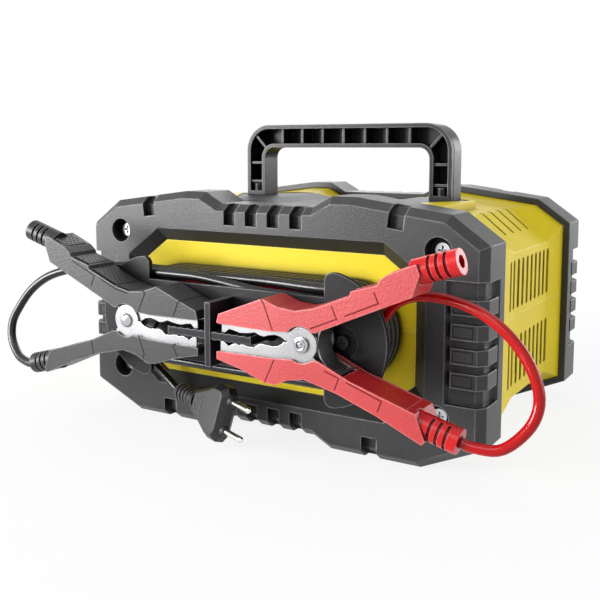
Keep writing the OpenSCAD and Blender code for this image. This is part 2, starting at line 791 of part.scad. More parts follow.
black_tail = [[51.6, -25.1, 84.5], [45, -25.1, 84.5], [30, -25.8, 85.4],
  [12, -26.9, 88.2], [-4, -26.9, 91], [-20, -26.9, 93.4]];
red_tail = [[51.6, -2.3, 84.5], [45, -2.3, 84.5], [30, -2.3, 85.4],
  [12, -2.3, 88.2], [-4, -2.3, 91], [-20, -2.3, 93.4]];
mains_tail = [[-51.6, 2.1, 65.5], [-45, 2.1, 65.5], [-30, 2.3, 64.6],
  [-12, 2.6, 61.8], [4, 3, 59], [20, 3.3, 56.6]];
module red_lead() color("#d3232b") frame() {
  cord(red_route, lead_d);
  cord(red_tail, lead_d);
}
module black_lead() color(black) frame() {
  cord(black_route, lead_d);
  cord(black_tail, lead_d);
}
module mains_lead() color(black) frame() {
  cord(mains_route, mains_d);
  cord(mains_tail, mains_d);
}

// ---------------------------------------------------------------- plug
// The plug frame: +x along the pins, +z across them
plug_dir = unit([0.936, -0.347, -0.053]);
plug_side = unit(cross(plug_dir, cross([-0.146, -0.245, -0.958], plug_dir)));
plug_up = cross(plug_side, plug_dir);
plug_at = [-3.9, -31.8, 17.3];
module in_plug() {
  multmatrix([[plug_dir[0], plug_up[0], plug_side[0], plug_at[0]],
    [plug_dir[1], plug_up[1], plug_side[1], plug_at[1]],
    [plug_dir[2], plug_up[2], plug_side[2], plug_at[2]]]) children();
}
neck_l = 24;
neck_r = 4.4;
module plug_form() {
  translate([0, 0, -plug_t / 2]) linear_extrude(plug_t)
    polygon([[0, plug_w / 2 - 4], [-3, plug_w / 2], [-12, plug_w / 2],
      [-22, plug_w / 2 - 5], [-plug_l, 7], [-plug_l, -7], [-22, 5 - plug_w / 2],
      [-12, -plug_w / 2], [-3, -plug_w / 2], [0, 4 - plug_w / 2]]);
}
module plug_body() color(black) frame() in_plug() rotate([90, 0, 0]) difference() {
  plug_form();
  for (s = [-1, 1]) translate([-13, s * pin_pitch / 2, 0]) rotate([0, 90, 0])
    cylinder(h = 20, r = pin_d / 2 + 0.02, $fn = 32);
}
module plug_pins() color(silver) frame() in_plug()
  for (s = [-1, 1]) translate([-13, 0, s * pin_pitch / 2]) rotate([0, 90, 0]) {
    cylinder(h = 13 + pin_l - 1.5, r = pin_d / 2, $fn = 32);
    translate([0, 0, 13 + pin_l - 1.5])
      cylinder(h = 1.5, r1 = pin_d / 2, r2 = pin_d / 2 - 1, $fn = 32);
  }
module plug_strain_relief() color(black) frame() in_plug()
  translate([-plug_l, 0, 0]) rotate([0, -90, 0]) difference() {
    union() {
      cylinder(h = neck_l, r1 = neck_r + 1.6, r2 = neck_r, $fn = 32);
      for (i = [1:5]) translate([0, 0, i * 4 - 1]) cylinder(h = 2, r = 6, $fn = 32);
    }
    translate([0, 0, neck_l - 8]) cylinder(h = 9, r = mains_d / 2 + 0.1, $fn = 32);
  }

// ---------------------------------------------------------------- clamps
upper_pts = [[7, 83.3], [8.5, 88.5], [39, 100.4], [50, 96.5], [61, 95.5],
  [72.5, 98], [95, 107], [95.6, 109.5], [111, 114], [112, 116.5], [116.5, 120],
  [132.8, 126.7], [135, 121.4], [130.8, 109.4], [95.5, 94], [74, 84.5],
  [45, 82.2], [9, 82.7]];
lower_pts = [[7, 66], [7, 61.4], [24.5, 57.5], [40.5, 52], [47, 51.5],
  [56, 55.5], [67, 57.5], [88, 52.5], [112, 44], [137.3, 33.1], [139, 35.5],
  [133.5, 48.9], [95, 60.6], [75.5, 69], [45, 66.8], [10, 66.3]];
skin = 3;
plate_out = clamp_front + cheek;
plate_in = clamp_back - cheek;
boot_y = clamp_front + 8;
boot_dir_hi = unit([19.8, 5.8]);
boot_dir_lo = unit([22.5, -6]);
boot_hi = [134.8, 123.2];
boot_lo = [136, 41];
boot_l = 20;
boot_in = 6;
module boot_place(p, d) {
  translate([p[0], boot_y, p[1]]) rotate([0, 90 - atan2(d[1], d[0]), 0]) children();
}
module boot(hollow) {
  difference() {
    translate([0, 0, -boot_in]) cylinder(h = boot_in + boot_l, r = boot_r, $fn = 40);
    translate([0, 0, boot_l - 14]) cylinder(h = 15, r = lead_d / 2 + 0.4, $fn = 32);
    for (i = [0:2]) translate([0, 0, 3.5 + i * 4.6]) difference() {
      cylinder(h = 1.8, r = boot_r + eps, $fn = 40);
      translate([0, 0, -eps]) cylinder(h = 4, r = boot_r - 1.4, $fn = 40);
      translate([-20, -1.6, -eps]) cube([40, 3.2, 4]);
    }
  }
}
module grip(pts, shift, p, d) {
  difference() {
    slab(clamp_front, clamp_back) difference() {
      polygon(pts);
      translate([pivot_x, pivot_z]) circle(disc_r + 1, $fn = 64);
    }
    slab(plate_out, plate_in) intersection() {
      translate([0, shift]) polygon(pts);
      translate([12, 0]) square([116, 200]);
    }
    slab(plate_out, plate_in) translate([pivot_x, pivot_z])
      circle(disc_r + 1 + 3, $fn = 64);
    boot_place(p, d) translate([0, 0, -boot_in])
      cylinder(h = boot_in + 30, r = boot_r + 0.1, $fn = 40);
  }
}
// Jaw plates: the upper pair runs just inside the lower pair
jaw_gap = 0.1;
upper_jaw_pts = concat([[9, bar_z1 + 0.1], [11.6, bar_z1 + 0.1], [14.2, 79.7], [17.5, 79.2],
  [22, 78.2], [27, 78.6], [32.4, 79.7], [36.2, 78.3], [38.6, 78], [41.5, 79], [46, 79.9],
  [50, 79.2], [53.4, 77.2], [57, 76.8]], [[pivot_x, pivot_z], [70, 83],
  [78, 90], [89, 95.5], [87, 98], [72, 92.5], [58, 91], [14, 86.8],
  [12.3, 86.2], [12.3, 82.7], [9, 82.7]]);
lower_jaw_pts = concat([[9, bar_z0 - 0.1], [11.8, bar_z0 - 0.1], [14.6, 69.8], [17.5, 71.2],
  [19.8, 71.9], [22.3, 71.2], [24.8, 71.9], [28.4, 71.3], [32.8, 71], [35.6, 73.2],
  [38.2, 73.9], [41.5, 73.6], [46, 73.3], [50, 74.4], [53.4, 76.9], [57, 76.9]],
  [[pivot_x, pivot_z], [71, 71],
  [79, 65], [90, 60.6], [88, 57.6], [72, 60], [56, 60], [14, 62.8],
  [12.3, 63.2], [12.3, 66.3], [9, 66.3]]);
module jaw_plate(pts, hole) {
  difference() {
    union() {
      polygon(pts);
      translate([pivot_x, pivot_z]) circle(disc_r, $fn = 64);
    }
    translate([pivot_x, pivot_z]) circle(hole, $fn = 48);
  }
}
module jaw(pts, inset, hole, web) {
  slab(plate_out + inset, plate_out + inset + sheet) jaw_plate(pts, hole);
  slab(plate_in - inset - sheet, plate_in - inset) jaw_plate(pts, hole);
  slab(plate_out + inset, plate_in - inset) {
    translate([20, web[0]]) square([30, sheet]);
    translate([82, web[1]]) square([5, sheet]);
  }
}
module upper_jaw() {
  jaw(upper_jaw_pts, sheet + jaw_gap, rivet_d / 2 + run, [84.5, 93.4]);
}
module lower_jaw() {
  jaw(lower_jaw_pts, 0, rivet_d / 2 + 0.02, [62.5, 61.2]);
}
rivet_head = 4.5;
module pivot_rivet() {
  translate([pivot_x, 0, pivot_z]) {
    rod(0, 0, plate_out - eps, plate_in + 0.6, rivet_d / 2);
    rod(0, 0, rivet_front + 1.1, plate_out, rivet_head);
    rod(0, 0, rivet_front, rivet_front + 1.2, rivet_head - 1.3);
    rod(0, 0, plate_in, plate_in + 1.1, rivet_head);
  }
}
spring_w = 15;
spring_mid = (clamp_front + clamp_back) / 2;
spring_x = pivot_x + 22.4;
spring_z = pivot_z + 0.9;
spring_r = 14;
module leaf_spring() {
  slab(spring_mid - spring_w / 2, spring_mid + spring_w / 2)
    translate([spring_x, spring_z]) scale([1, 1.0857]) difference() {
      circle(spring_r + 0.5, $fn = 72);
      circle(spring_r - 0.5, $fn = 72);
      translate([-3.6, -30]) square(60);
    }
}
module red_upper_grip() color("#e0262e") frame() grip(upper_pts, -skin, boot_hi, boot_dir_hi);
module red_lower_grip() color("#e0262e") frame() grip(lower_pts, skin, boot_lo, boot_dir_lo);
module red_upper_jaw() color(silver) frame() upper_jaw();
module red_lower_jaw() color(silver) frame() lower_jaw();
module red_pivot_rivet() color("#aeb2b8") frame() pivot_rivet();
module red_leaf_spring() color("#8d9298") frame() leaf_spring();
module red_upper_boot() color(black) frame() boot_place(boot_hi, boot_dir_hi) boot();
module red_lower_boot() color(black) frame() boot_place(boot_lo, boot_dir_lo) boot();
module flip() {
  mirror([1, 0, 0]) children();
}
module black_upper_grip() color(charcoal) frame() flip() grip(upper_pts, -skin, boot_hi, boot_dir_hi);
module black_lower_grip() color(charcoal) frame() flip() grip(lower_pts, skin, boot_lo, boot_dir_lo);
module black_upper_jaw() color(silver) frame() flip() upper_jaw();
module black_lower_jaw() color(silver) frame() flip() lower_jaw();
module black_pivot_rivet() color("#aeb2b8") frame() flip() pivot_rivet();
module black_leaf_spring() color("#8d9298") frame() flip() leaf_spring();
module black_upper_boot() color(black) frame() flip() boot_place(boot_hi, boot_dir_hi) boot();
module black_lower_boot() color(black) frame() flip() boot_place(boot_lo, boot_dir_lo) boot();

// ---------------------------------------------------------------- controls
fascia_y = case_d - bevel_d;
fascia_t = 3;
ctl_y = fascia_y - fascia_t;
tray_y = case_d - nose_y;
disp_x = -34;
disp_z = 92;
disp_d = 1.5;
button_x = -70;
button_z = 52;
rocker_x = 58;
rocker_z = 56;
pipe_x = 30;
pipe_z = 104;
pipe_pitch = 11;
pipe_r = 2;
ctl_t = 1.6;
ctl_w = 2 * win_x - 43.4;
ctl_h = 74;
ctl_back = ctl_y - 10;
function bx(i) = button_x + i * button_pitch;
module control_fascia() color(black) frame() difference() {
  union() {
    difference() {
      loft([[tray_y, panel], [fascia_y, panel]]);
      loft([[tray_y - eps, grow(panel, -wall)], [ctl_y, grow(panel, -wall)]]);
    }
    for (s = [-1, 1]) for (t = [-1, 1])
      rod(s * (ctl_w / 2 - 6), seam_z + t * (ctl_h / 2 - 5), ctl_back + ctl_t, ctl_y + 0.5, 3);
  }
  translate([disp_x, 0, disp_z]) {
    slab(fascia_y - disp_d, fascia_y + eps)
      square([display_w + 8 + fit, display_h + 8 + fit], center = true);
    slab(ctl_y - eps, fascia_y + eps) square([display_w, display_h], center = true);
  }
  for (i = [0:3]) rod(bx(i), button_z, ctl_y - eps, fascia_y + eps, button_d / 2 + 0.3);
  translate([rocker_x, 0, rocker_z]) slab(ctl_y - eps, fascia_y + eps)
    square([rocker_w + 4 + 2 * 0.1, rocker_h + 4 + 2 * 0.1], center = true);
  for (i = [0:4]) rod(pipe_x + i * pipe_pitch, pipe_z, ctl_y - eps, fascia_y + eps,
    pipe_r + 0.05);
}
module display_window() color("#9db7c4") frame() translate([disp_x, 0, disp_z])
  slab(fascia_y - disp_d, fascia_y - 0.1)
    square([display_w + 8, display_h + 8], center = true);
module display_module() color("#20342b") frame() translate([disp_x, 0, disp_z])
  slab(ctl_back + ctl_t, ctl_y) square([display_w + 6, display_h + 6], center = true);
module button(x) {
  translate([x, 0, button_z]) {
    rod(0, 0, ctl_y - 2, fascia_y + 2, button_d / 2);
    rod(0, 0, ctl_y - 2, ctl_y - 0.3, button_d / 2 + 1.4);
    rod(0, 0, ctl_back + ctl_t + 4.2 + button_travel, ctl_y - 1, 3);
  }
}
module button_mode() color("#35383c") frame() button(bx(0));
module button_current() color("#35383c") frame() button(bx(1));
module button_start() color("#2f7d3a") frame() button(bx(2));
module button_test() color("#35383c") frame() button(bx(3));
pin_r = 1.5;
pin_y = fascia_y - 2;
module rocker_frame() color(black) frame() translate([rocker_x, 0, rocker_z]) {
  slab(fascia_y, fascia_y + 1.6) difference() {
    square([rocker_w + 9, rocker_h + 9], center = true);
    square([rocker_w + 1, rocker_h + 2.4], center = true);
  }
  difference() {
    slab(ctl_y - 9, fascia_y + 0.4) difference() {
      square([rocker_w + 4, rocker_h + 4], center = true);
      square([rocker_w + 1, rocker_h + 2.4], center = true);
    }
    translate([-20, pin_y, 0]) rotate([0, 90, 0])
      cylinder(h = 40, r = pin_r + run, $fn = 32);
  }
  slab(ctl_y - 10.5, ctl_y - 8.5) square([rocker_w + 4, rocker_h + 4], center = true);
}
rocker_tilt = 8;
module power_rocker() color("#b3202a") frame() translate([rocker_x, pin_y, rocker_z]) {
  rotate([rocker_tilt, 0, 0]) slab_x(-rocker_w / 2, rocker_w / 2)
    polygon([[5.4, -rocker_h / 2 + 0.6], [3.6, 0], [5.4, rocker_h / 2 - 0.6],
      [1, rocker_h / 2 - 0.2], [-3, 4], [-3, -4], [1, 0.2 - rocker_h / 2]]);
  translate([-rocker_w / 2 - 1.8, 0, 0]) rotate([0, 90, 0])
    cylinder(h = rocker_w + 3.6, r = pin_r, $fn = 32);
}
module led_light_pipes() color("#d8e6c8") frame()
  for (i = [0:4]) rod(pipe_x + i * pipe_pitch, pipe_z, ctl_back + ctl_t + 0.1,
    fascia_y + 0.4, pipe_r);
module control_board() color("#1f6b3a") frame() {
  difference() {
    translate([0, 0, seam_z]) slab(ctl_back, ctl_back + ctl_t)
      square([ctl_w, ctl_h], center = true);
    translate([rocker_x, 0, rocker_z]) slab(ctl_back - eps, ctl_back + ctl_t + eps)
      square([rocker_w + 6, rocker_h + 6], center = true);
  }
  for (i = [0:3]) translate([bx(i) - 3, ctl_back + ctl_t - 0.1, button_z - 3])
    cube([6, 4, 6]);
}

// ---------------------------------------------------------------- inside
board_top = board_z + board_t;
module main_board() color("#1f6b3a") frame() difference() {
  translate([-board_w / 2, board_y - board_l / 2, board_z])
    cube([board_w, board_l, board_t]);
  posts(screw_r + 0.1, 0, 40);
}
module board_screws() color(silver) frame() {
  posts(head_r, board_top, board_top + 2.4);
  posts(screw_r, board_z - 6, board_top + 1);
}
core_x = 58 - board_w / 2;
core_y = board_y - 8;
core_w = 72;
core_d = 34;
core_h = 60;
leg = 12;
module transformer_core() color("#5a5d62") frame() translate([core_x, core_y, board_top])
  slab(-core_d / 2, core_d / 2) difference() {
    translate([-core_w / 2, 0]) square([core_w, core_h]);
    for (s = [-1, 1]) translate([s * core_w / 4 - 6, leg]) square([12, core_h - 2 * leg]);
  }
module transformer_coil() color("#b26a2c") frame()
  translate([core_x, core_y, board_top + leg + 0.2]) linear_extrude(core_h - 2 * leg - 0.4)
    difference() {
      square([core_w / 2 + 12 - 0.4, core_d + 22], center = true);
      square([core_w / 2 - 12 + 0.4, core_d + 0.4], center = true);
    }
module choke() color("#a8642a") frame() translate([board_w / 2 - 70, board_y - 42, board_top]) {
  translate([0, 0, 8]) rotate_extrude($fn = 48) translate([15, 0]) circle(7, $fn = 24);
  cylinder(h = 4, r = 17, $fn = 32);
}
sink_y = [board_y - 16, board_y + 30];
sink_x = board_w / 2 - 42;
sink_w = 60;
sink_h = 40;
module heatsinks() color("#9aa0a6") frame()
  for (y = sink_y) translate([sink_x - sink_w / 2, y, board_top]) {
    cube([sink_w, 3, sink_h]);
    for (i = [0:9]) translate([i * (sink_w - 2) / 9, 2.9, 0]) cube([2, 12, sink_h]);
  }
module power_transistors() color("#232427") frame()
  for (y = sink_y) for (i = [-1, 0, 1]) translate([sink_x + i * 17 - 5, y - 4.5, board_top]) {
    translate([0, 0, 12]) cube([10, 4.5, 15]);
    for (k = [0:2]) translate([1.5 + k * 2.6, 1.6, 0]) cube([1, 1, 12.2]);
  }
cap_r = 12;
cap_pitch = 2 * cap_r + 4;
cap_h = 38;
module capacitors() color("#2b3f63") frame() {
  for (i = [0:2]) translate([30 - board_w / 2 + i * cap_pitch, board_y + 44, board_top])
    cylinder(h = cap_h, r = cap_r, $fn = 40);
  for (i = [0:1]) translate([72 - board_w / 2 + i * 15, board_y - 46, board_top])
    cylinder(h = 20, r = 5.5, $fn = 32);
}
fan_bore = fan_s / 2 - 2;
hub_r = 15;
module fan_ring2d() {
  difference() {
    square([fan_s, fan_s], center = true);
    circle(fan_bore, $fn = 96);
    for (s = [-1, 1]) for (t = [-1, 1])
      translate([s * (fan_s / 2 - 5), t * (fan_s / 2 - 5)]) circle(2, $fn = 24);
  }
}
axle_r = 1.5;
module fan_frame() color(black) frame() translate([0, fan_y, fan_z]) {
  slab_x(fan_x0, fan_x1) fan_ring2d();
  slab_x(fan_x0, fan_x0 + 2.5) {
    difference() {
      union() {
        circle(hub_r - 1, $fn = 48);
        for (a = [0, 120, 240]) rotate(a) translate([0, -2]) square([fan_bore + 1, 4]);
      }
      circle(axle_r + run, $fn = 32);
    }
  }
}
module fan_rotor() color("#2a2b2e") frame() translate([0, fan_y, fan_z]) {
  slab_x(fan_x0 + 3.2, fan_x1 - 2) circle(hub_r, $fn = 48);
  slab_x(fan_x0 + 0.2, fan_x0 + 3.4) circle(axle_r, $fn = 32);
  for (i = [0:blade_n - 1]) rotate([i * 360 / blade_n, 0, 0])
    translate([(fan_x0 + fan_x1) / 2 + 0.6, 0, hub_r - 1]) rotate([0, 0, 35])
      translate([-1, -6, 0]) cube([2, 12, fan_bore - hub_r - 1]);
}

cable_side_bumper();
panel_side_bumper();
case_upper_shell();
case_lower_shell();
saddle_plate();
carry_handle();
handle_screws();
bumper_screws();
winder_left();
winder_right();
winder_core();
winder_screws();
clamp_dock();
cable_glands();
control_fascia();
display_window();
display_module();
button_mode();
button_current();
button_start();
button_test();
rocker_frame();
power_rocker();
led_light_pipes();
control_board();
main_board();
transformer_core();
transformer_coil();
choke();
heatsinks();
power_transistors();
capacitors();
fan_frame();
fan_rotor();
board_screws();
red_upper_grip();
red_lower_grip();
red_upper_jaw();
red_lower_jaw();
red_pivot_rivet();
red_leaf_spring();
red_upper_boot();
red_lower_boot();
black_upper_grip();
black_lower_grip();
black_upper_jaw();
black_lower_jaw();
black_pivot_rivet();
black_leaf_spring();
black_upper_boot();
black_lower_boot();
plug_body();
plug_pins();
plug_strain_relief();
red_coil();
black_coil();
mains_coil();
red_lead();
black_lead();
mains_lead();
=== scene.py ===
"""Picture model of a car battery charger, around the solids of part.scad.

Places and sizes of pieces are in millimetres of part.scad's front frame: x across the case
towards the red clamp, y from the cable side to the control side, z up. point() turns a place
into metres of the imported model. The camera, the floor, the lamps and the sizes in materials
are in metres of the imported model.
"""
import math
import bpy
import bmesh
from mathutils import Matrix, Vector


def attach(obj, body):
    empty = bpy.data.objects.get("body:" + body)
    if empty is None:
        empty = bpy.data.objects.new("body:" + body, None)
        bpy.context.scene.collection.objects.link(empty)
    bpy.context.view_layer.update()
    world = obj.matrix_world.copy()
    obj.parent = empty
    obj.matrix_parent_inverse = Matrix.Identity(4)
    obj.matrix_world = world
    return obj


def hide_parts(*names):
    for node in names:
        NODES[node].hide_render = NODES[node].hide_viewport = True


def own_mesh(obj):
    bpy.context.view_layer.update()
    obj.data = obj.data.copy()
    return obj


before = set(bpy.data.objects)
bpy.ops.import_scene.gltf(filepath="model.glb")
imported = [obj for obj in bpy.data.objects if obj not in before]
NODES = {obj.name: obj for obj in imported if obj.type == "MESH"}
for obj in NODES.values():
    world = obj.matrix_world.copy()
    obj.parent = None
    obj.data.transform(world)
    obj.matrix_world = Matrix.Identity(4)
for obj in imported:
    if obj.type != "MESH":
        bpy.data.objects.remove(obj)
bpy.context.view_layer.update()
SCENE = bpy.context.scene

SHIFT_Y, SHIFT_Z = -75.25, 4.8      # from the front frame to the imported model
FRONT, REAR = (0, -1, 0), (0, 1, 0)     # the way out of the cable side and the control side


def point(x, y, z):
    """A place of the front frame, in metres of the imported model."""
    return Vector((x / 1000, (y + SHIFT_Y) / 1000, (z + SHIFT_Z) / 1000))


# ------------------------------------------------------------------ camera
def add_camera():
    """The camera that was solved from the edges of the object in the photograph."""
    camera = bpy.data.objects.new("camera", bpy.data.cameras.new("camera"))
    SCENE.collection.objects.link(camera)
    camera.location = (0.305616, -0.528847, 0.190762)
    camera.rotation_euler = (math.radians(83.37), 0, math.radians(31.592))
    camera.data.sensor_width = 36
    camera.data.lens = 51.43
    camera.data.shift_x = 0.0055
    camera.data.shift_y = -0.0908
    camera.data.clip_start = 0.01
    SCENE.camera = camera


add_camera()

# ------------------------------------------------------------ shader nodes
RAYS = 6            # samples of the bevel and occlusion nodes
DUST_GREY = 0.45    # what a quarter of the colour turns to under dust


def node(tree, kind, values=None, **settings):
    """A new node: values are its inputs by name, settings are its own properties."""
    new = tree.nodes.new(kind)
    for key, value in settings.items():
        setattr(new, key, value)
    for key, value in (values or {}).items():
        new.inputs[key].default_value = value
    return new


def math_node(tree, operation, a, b, clamp=False):
    new = node(tree, "ShaderNodeMath", operation=operation, use_clamp=clamp)
    tree.links.new(a, new.inputs[0])
    tree.links.new(b, new.inputs[1])
    return new.outputs[0]


def mix_colour(tree, share, a, b):
    """Colour a where share is 0, colour b where it is 1; a colour is a socket or a tuple."""
    new = node(tree, "ShaderNodeMix", data_type="RGBA", clamp_factor=True)
    tree.links.new(share, new.inputs[0])
    for key, value in ((6, a), (7, b)):
        if isinstance(value, tuple):
            new.inputs[key].default_value = value + (1,)
        else:
            tree.links.new(value, new.inputs[key])
    return new.outputs[2]


def noise(tree, place, scale, detail, rough=0.55):
    new = node(tree, "ShaderNodeTexNoise", {"Scale": scale, "Detail": detail, "Roughness": rough})
    tree.links.new(place, new.inputs["Vector"])
    return new.outputs["Fac"]


def remap(tree, value, from_low, from_high, to_low, to_high):
    new = node(tree, "ShaderNodeMapRange", clamp=True)
    for i, limit in enumerate((from_low, from_high, to_low, to_high)):
        new.inputs[i + 1].default_value = limit
    tree.links.new(value, new.inputs[0])
    return new.outputs[0]


def mapped(tree, place, values):
    new = node(tree, "ShaderNodeMapping", values)
    tree.links.new(place, new.inputs["Vector"])
    return new.outputs[0]


def bump(tree, height, normal, strength, distance):
    new = node(tree, "ShaderNodeBump", {"Strength": strength, "Distance": distance})
    tree.links.new(height, new.inputs["Height"])
    tree.links.new(normal, new.inputs["Normal"])
    return new.outputs[0]


def shade(colour, factor):
    return tuple(c * factor for c in colour)


# --------------------------------------------------------------- materials
def bare_tree(owner, output_kind):
    """The tree of a material or a world with nothing but its output, and what goes into that."""
    owner.use_nodes = True
    tree = owner.node_tree
    tree.nodes.clear()
    return tree, node(tree, output_kind).inputs[0]


def new_material(name):
    """A material, its tree and its one shader."""
    material = bpy.data.materials.new(name)
    tree, surface = bare_tree(material, "ShaderNodeOutputMaterial")
    shader = node(tree, "ShaderNodeBsdfPrincipled")
    tree.links.new(shader.outputs[0], surface)
    return material, tree, shader


def mottled(tree, colour, mottle, speckle, wide, fine):
    """The base colour with wide mottling and the shading of the fine grain."""
    dark = shade(colour, 1 - mottle)
    light = tuple(min(1, c * (1 + mottle)) for c in colour)
    cloudy = mix_colour(tree, remap(tree, wide, 0.3, 0.7, 0, 1), dark, light)
    grainy = remap(tree, fine, 0.35, 0.65, 0, 0.2 + speckle)
    return mix_colour(tree, grainy, cloudy, shade(colour, 0.6))


def edge_wear_highlight(tree, normal, open_air, middle, wear_highlight, radius):
    """How much a point is a worn edge with a painted highlight: its bevelled normal differs
    from its flat one, out in the open.
    """
    bevelled = node(tree, "ShaderNodeBevel", {"Radius": radius * 1.6}, samples=RAYS)
    alike = node(tree, "ShaderNodeVectorMath", operation="DOT_PRODUCT")
    tree.links.new(bevelled.outputs[0], alike.inputs[0])
    tree.links.new(normal, alike.inputs[1])
    edge = math_node(tree, "MULTIPLY", remap(tree, alike.outputs["Value"], 0.985, 0.87, 0, 1),
                     remap(tree, open_air, 0.62, 0.9, 0, 1))
    return math_node(tree, "MULTIPLY", edge, remap(tree, middle, 0.3, 0.6, 0.45 * wear_highlight, wear_highlight))


def dust_on_top(tree, normal, middle, dust):
    """How dusty a point is: only faces that look up gather dust."""
    parts = node(tree, "ShaderNodeSeparateXYZ")
    tree.links.new(normal, parts.inputs[0])
    return math_node(tree, "MULTIPLY", remap(tree, parts.outputs[2], 0.5, 1.0, 0, dust),
                     remap(tree, middle, 0.4, 0.7, 0.2, 1))


def plastic(name, colour, rough=0.5, grain=900, grain_depth=0.12, speckle=0.3, mottle=0.1,
            wear_highlight=0.8, wear_highlight_colour=None, radius=0.0007, metal=0.0, specular=0.5, coat=0.0, dust=0.05,
            stretch=None, scratch=0.0, corner_shade=0.65, reach=0.009):
    """Moulded plastic, rubber or metal with mottling, grain, edge wear with a painted highlight,
    dust and painted shade in corners.

    grain is the grain's scale and grain_depth its depth in millimetres, the edge colour is both
    wear and a painted highlight on convex edges, radius rounds the edges, and painted shade
    darkens the colour where walls come within reach."""
    material, tree, shader = new_material(name)
    for key, value in (("Metallic", metal), ("Specular IOR Level", specular),
                       ("Coat Weight", coat), ("Coat Roughness", 0.2)):
        shader.inputs[key].default_value = value
    place = node(tree, "ShaderNodeTexCoord").outputs["Object"]
    wide = noise(tree, place, 22, 4)
    middle = noise(tree, place, 160, 3)
    grain_place = mapped(tree, place, {"Scale": stretch}) if stretch else place
    fine = noise(tree, grain_place, grain, 2, 0.6)
    normal = node(tree, "ShaderNodeNewGeometry").outputs["Normal"]
    occlusion = node(tree, "ShaderNodeAmbientOcclusion", {"Distance": reach}, samples=RAYS)
    open_air = occlusion.outputs["AO"]
    # colour, from the material itself to what lies on it, with painted edge highlights and
    # painted shade in corners
    base = mottled(tree, colour, mottle, speckle, wide, fine)
    # convex edges turn lighter, partly as wear and partly as a painted highlight
    edge_highlight_colour = wear_highlight_colour or tuple(min(1, c * 2.2 + 0.05) for c in colour)
    worn_and_lit = mix_colour(tree, edge_wear_highlight(tree, normal, open_air, middle, wear_highlight, radius), base,
                      edge_highlight_colour)
    dusty = mix_colour(tree, dust_on_top(tree, normal, middle, dust), worn_and_lit,
                       tuple(0.75 * c + 0.25 * DUST_GREY for c in colour))
    # painted shade: the colour darkens towards near-black where walls come within reach
    corner_shaded = mix_colour(tree, remap(tree, open_air, 0.25, 0.92, corner_shade, 0), dusty,
                       shade(colour, 0.08))
    tree.links.new(corner_shaded, shader.inputs["Base Color"])
    roughness = math_node(tree, "ADD", remap(tree, wide, 0.3, 0.7, -0.04, 0.05),
                          remap(tree, fine, 0.3, 0.7, rough - 0.05, rough + 0.05), clamp=True)
    tree.links.new(roughness, shader.inputs["Roughness"])
    # the grain's bump over rounded edges, and long scratches on metal
    rounded = node(tree, "ShaderNodeBevel", {"Radius": radius}, samples=RAYS).outputs[0]
    last = bump(tree, fine, rounded, 0.6, grain_depth / 1000)
    if scratch:
        lines = mapped(tree, place, {"Rotation": (0.3, 0.4, 0.8), "Scale": (1, 60, 60)})
        last = bump(tree, noise(tree, lines, 30, 2), last, scratch, 0.00004)
    tree.links.new(last, shader.inputs["Normal"])
    return material


def glass(name, colour, rough):
    """Clear plastic, slightly uneven in colour and roughness."""
    material, tree, shader = new_material(name)
    place = node(tree, "ShaderNodeTexCoord").outputs["Object"]
    tint = mix_colour(tree, noise(tree, place, 60, 3), shade(colour, 0.9), colour)
    tree.links.new(tint, shader.inputs["Base Color"])
    haze = remap(tree, noise(tree, place, 900, 3), 0.3, 0.7, rough, rough + 0.06)
    tree.links.new(haze, shader.inputs["Roughness"])
    shader.inputs["Transmission Weight"].default_value = 0.85
    shader.inputs["IOR"].default_value = 1.49
    return material


# What several materials share
METAL = dict(speckle=0.0, metal=1.0, dust=0.0)
CORD = dict(grain=1500, speckle=0.0, wear_highlight=0.0, radius=0.0003, dust=0.0)
KEY = dict(grain=1200, grain_depth=0.06, speckle=0.0, wear_highlight=0.4, radius=0.0006)
SHADOW = dict(rough=0.6, grain=1500, grain_depth=0.05, speckle=0.0, wear_highlight=0.0, radius=0.0002,
              specular=0.2, dust=0.0, corner_shade=0.0)
PRINT = dict(grain=1500, wear_highlight=0.0, radius=0.0001, specular=0.3, dust=0.0, corner_shade=0.0)

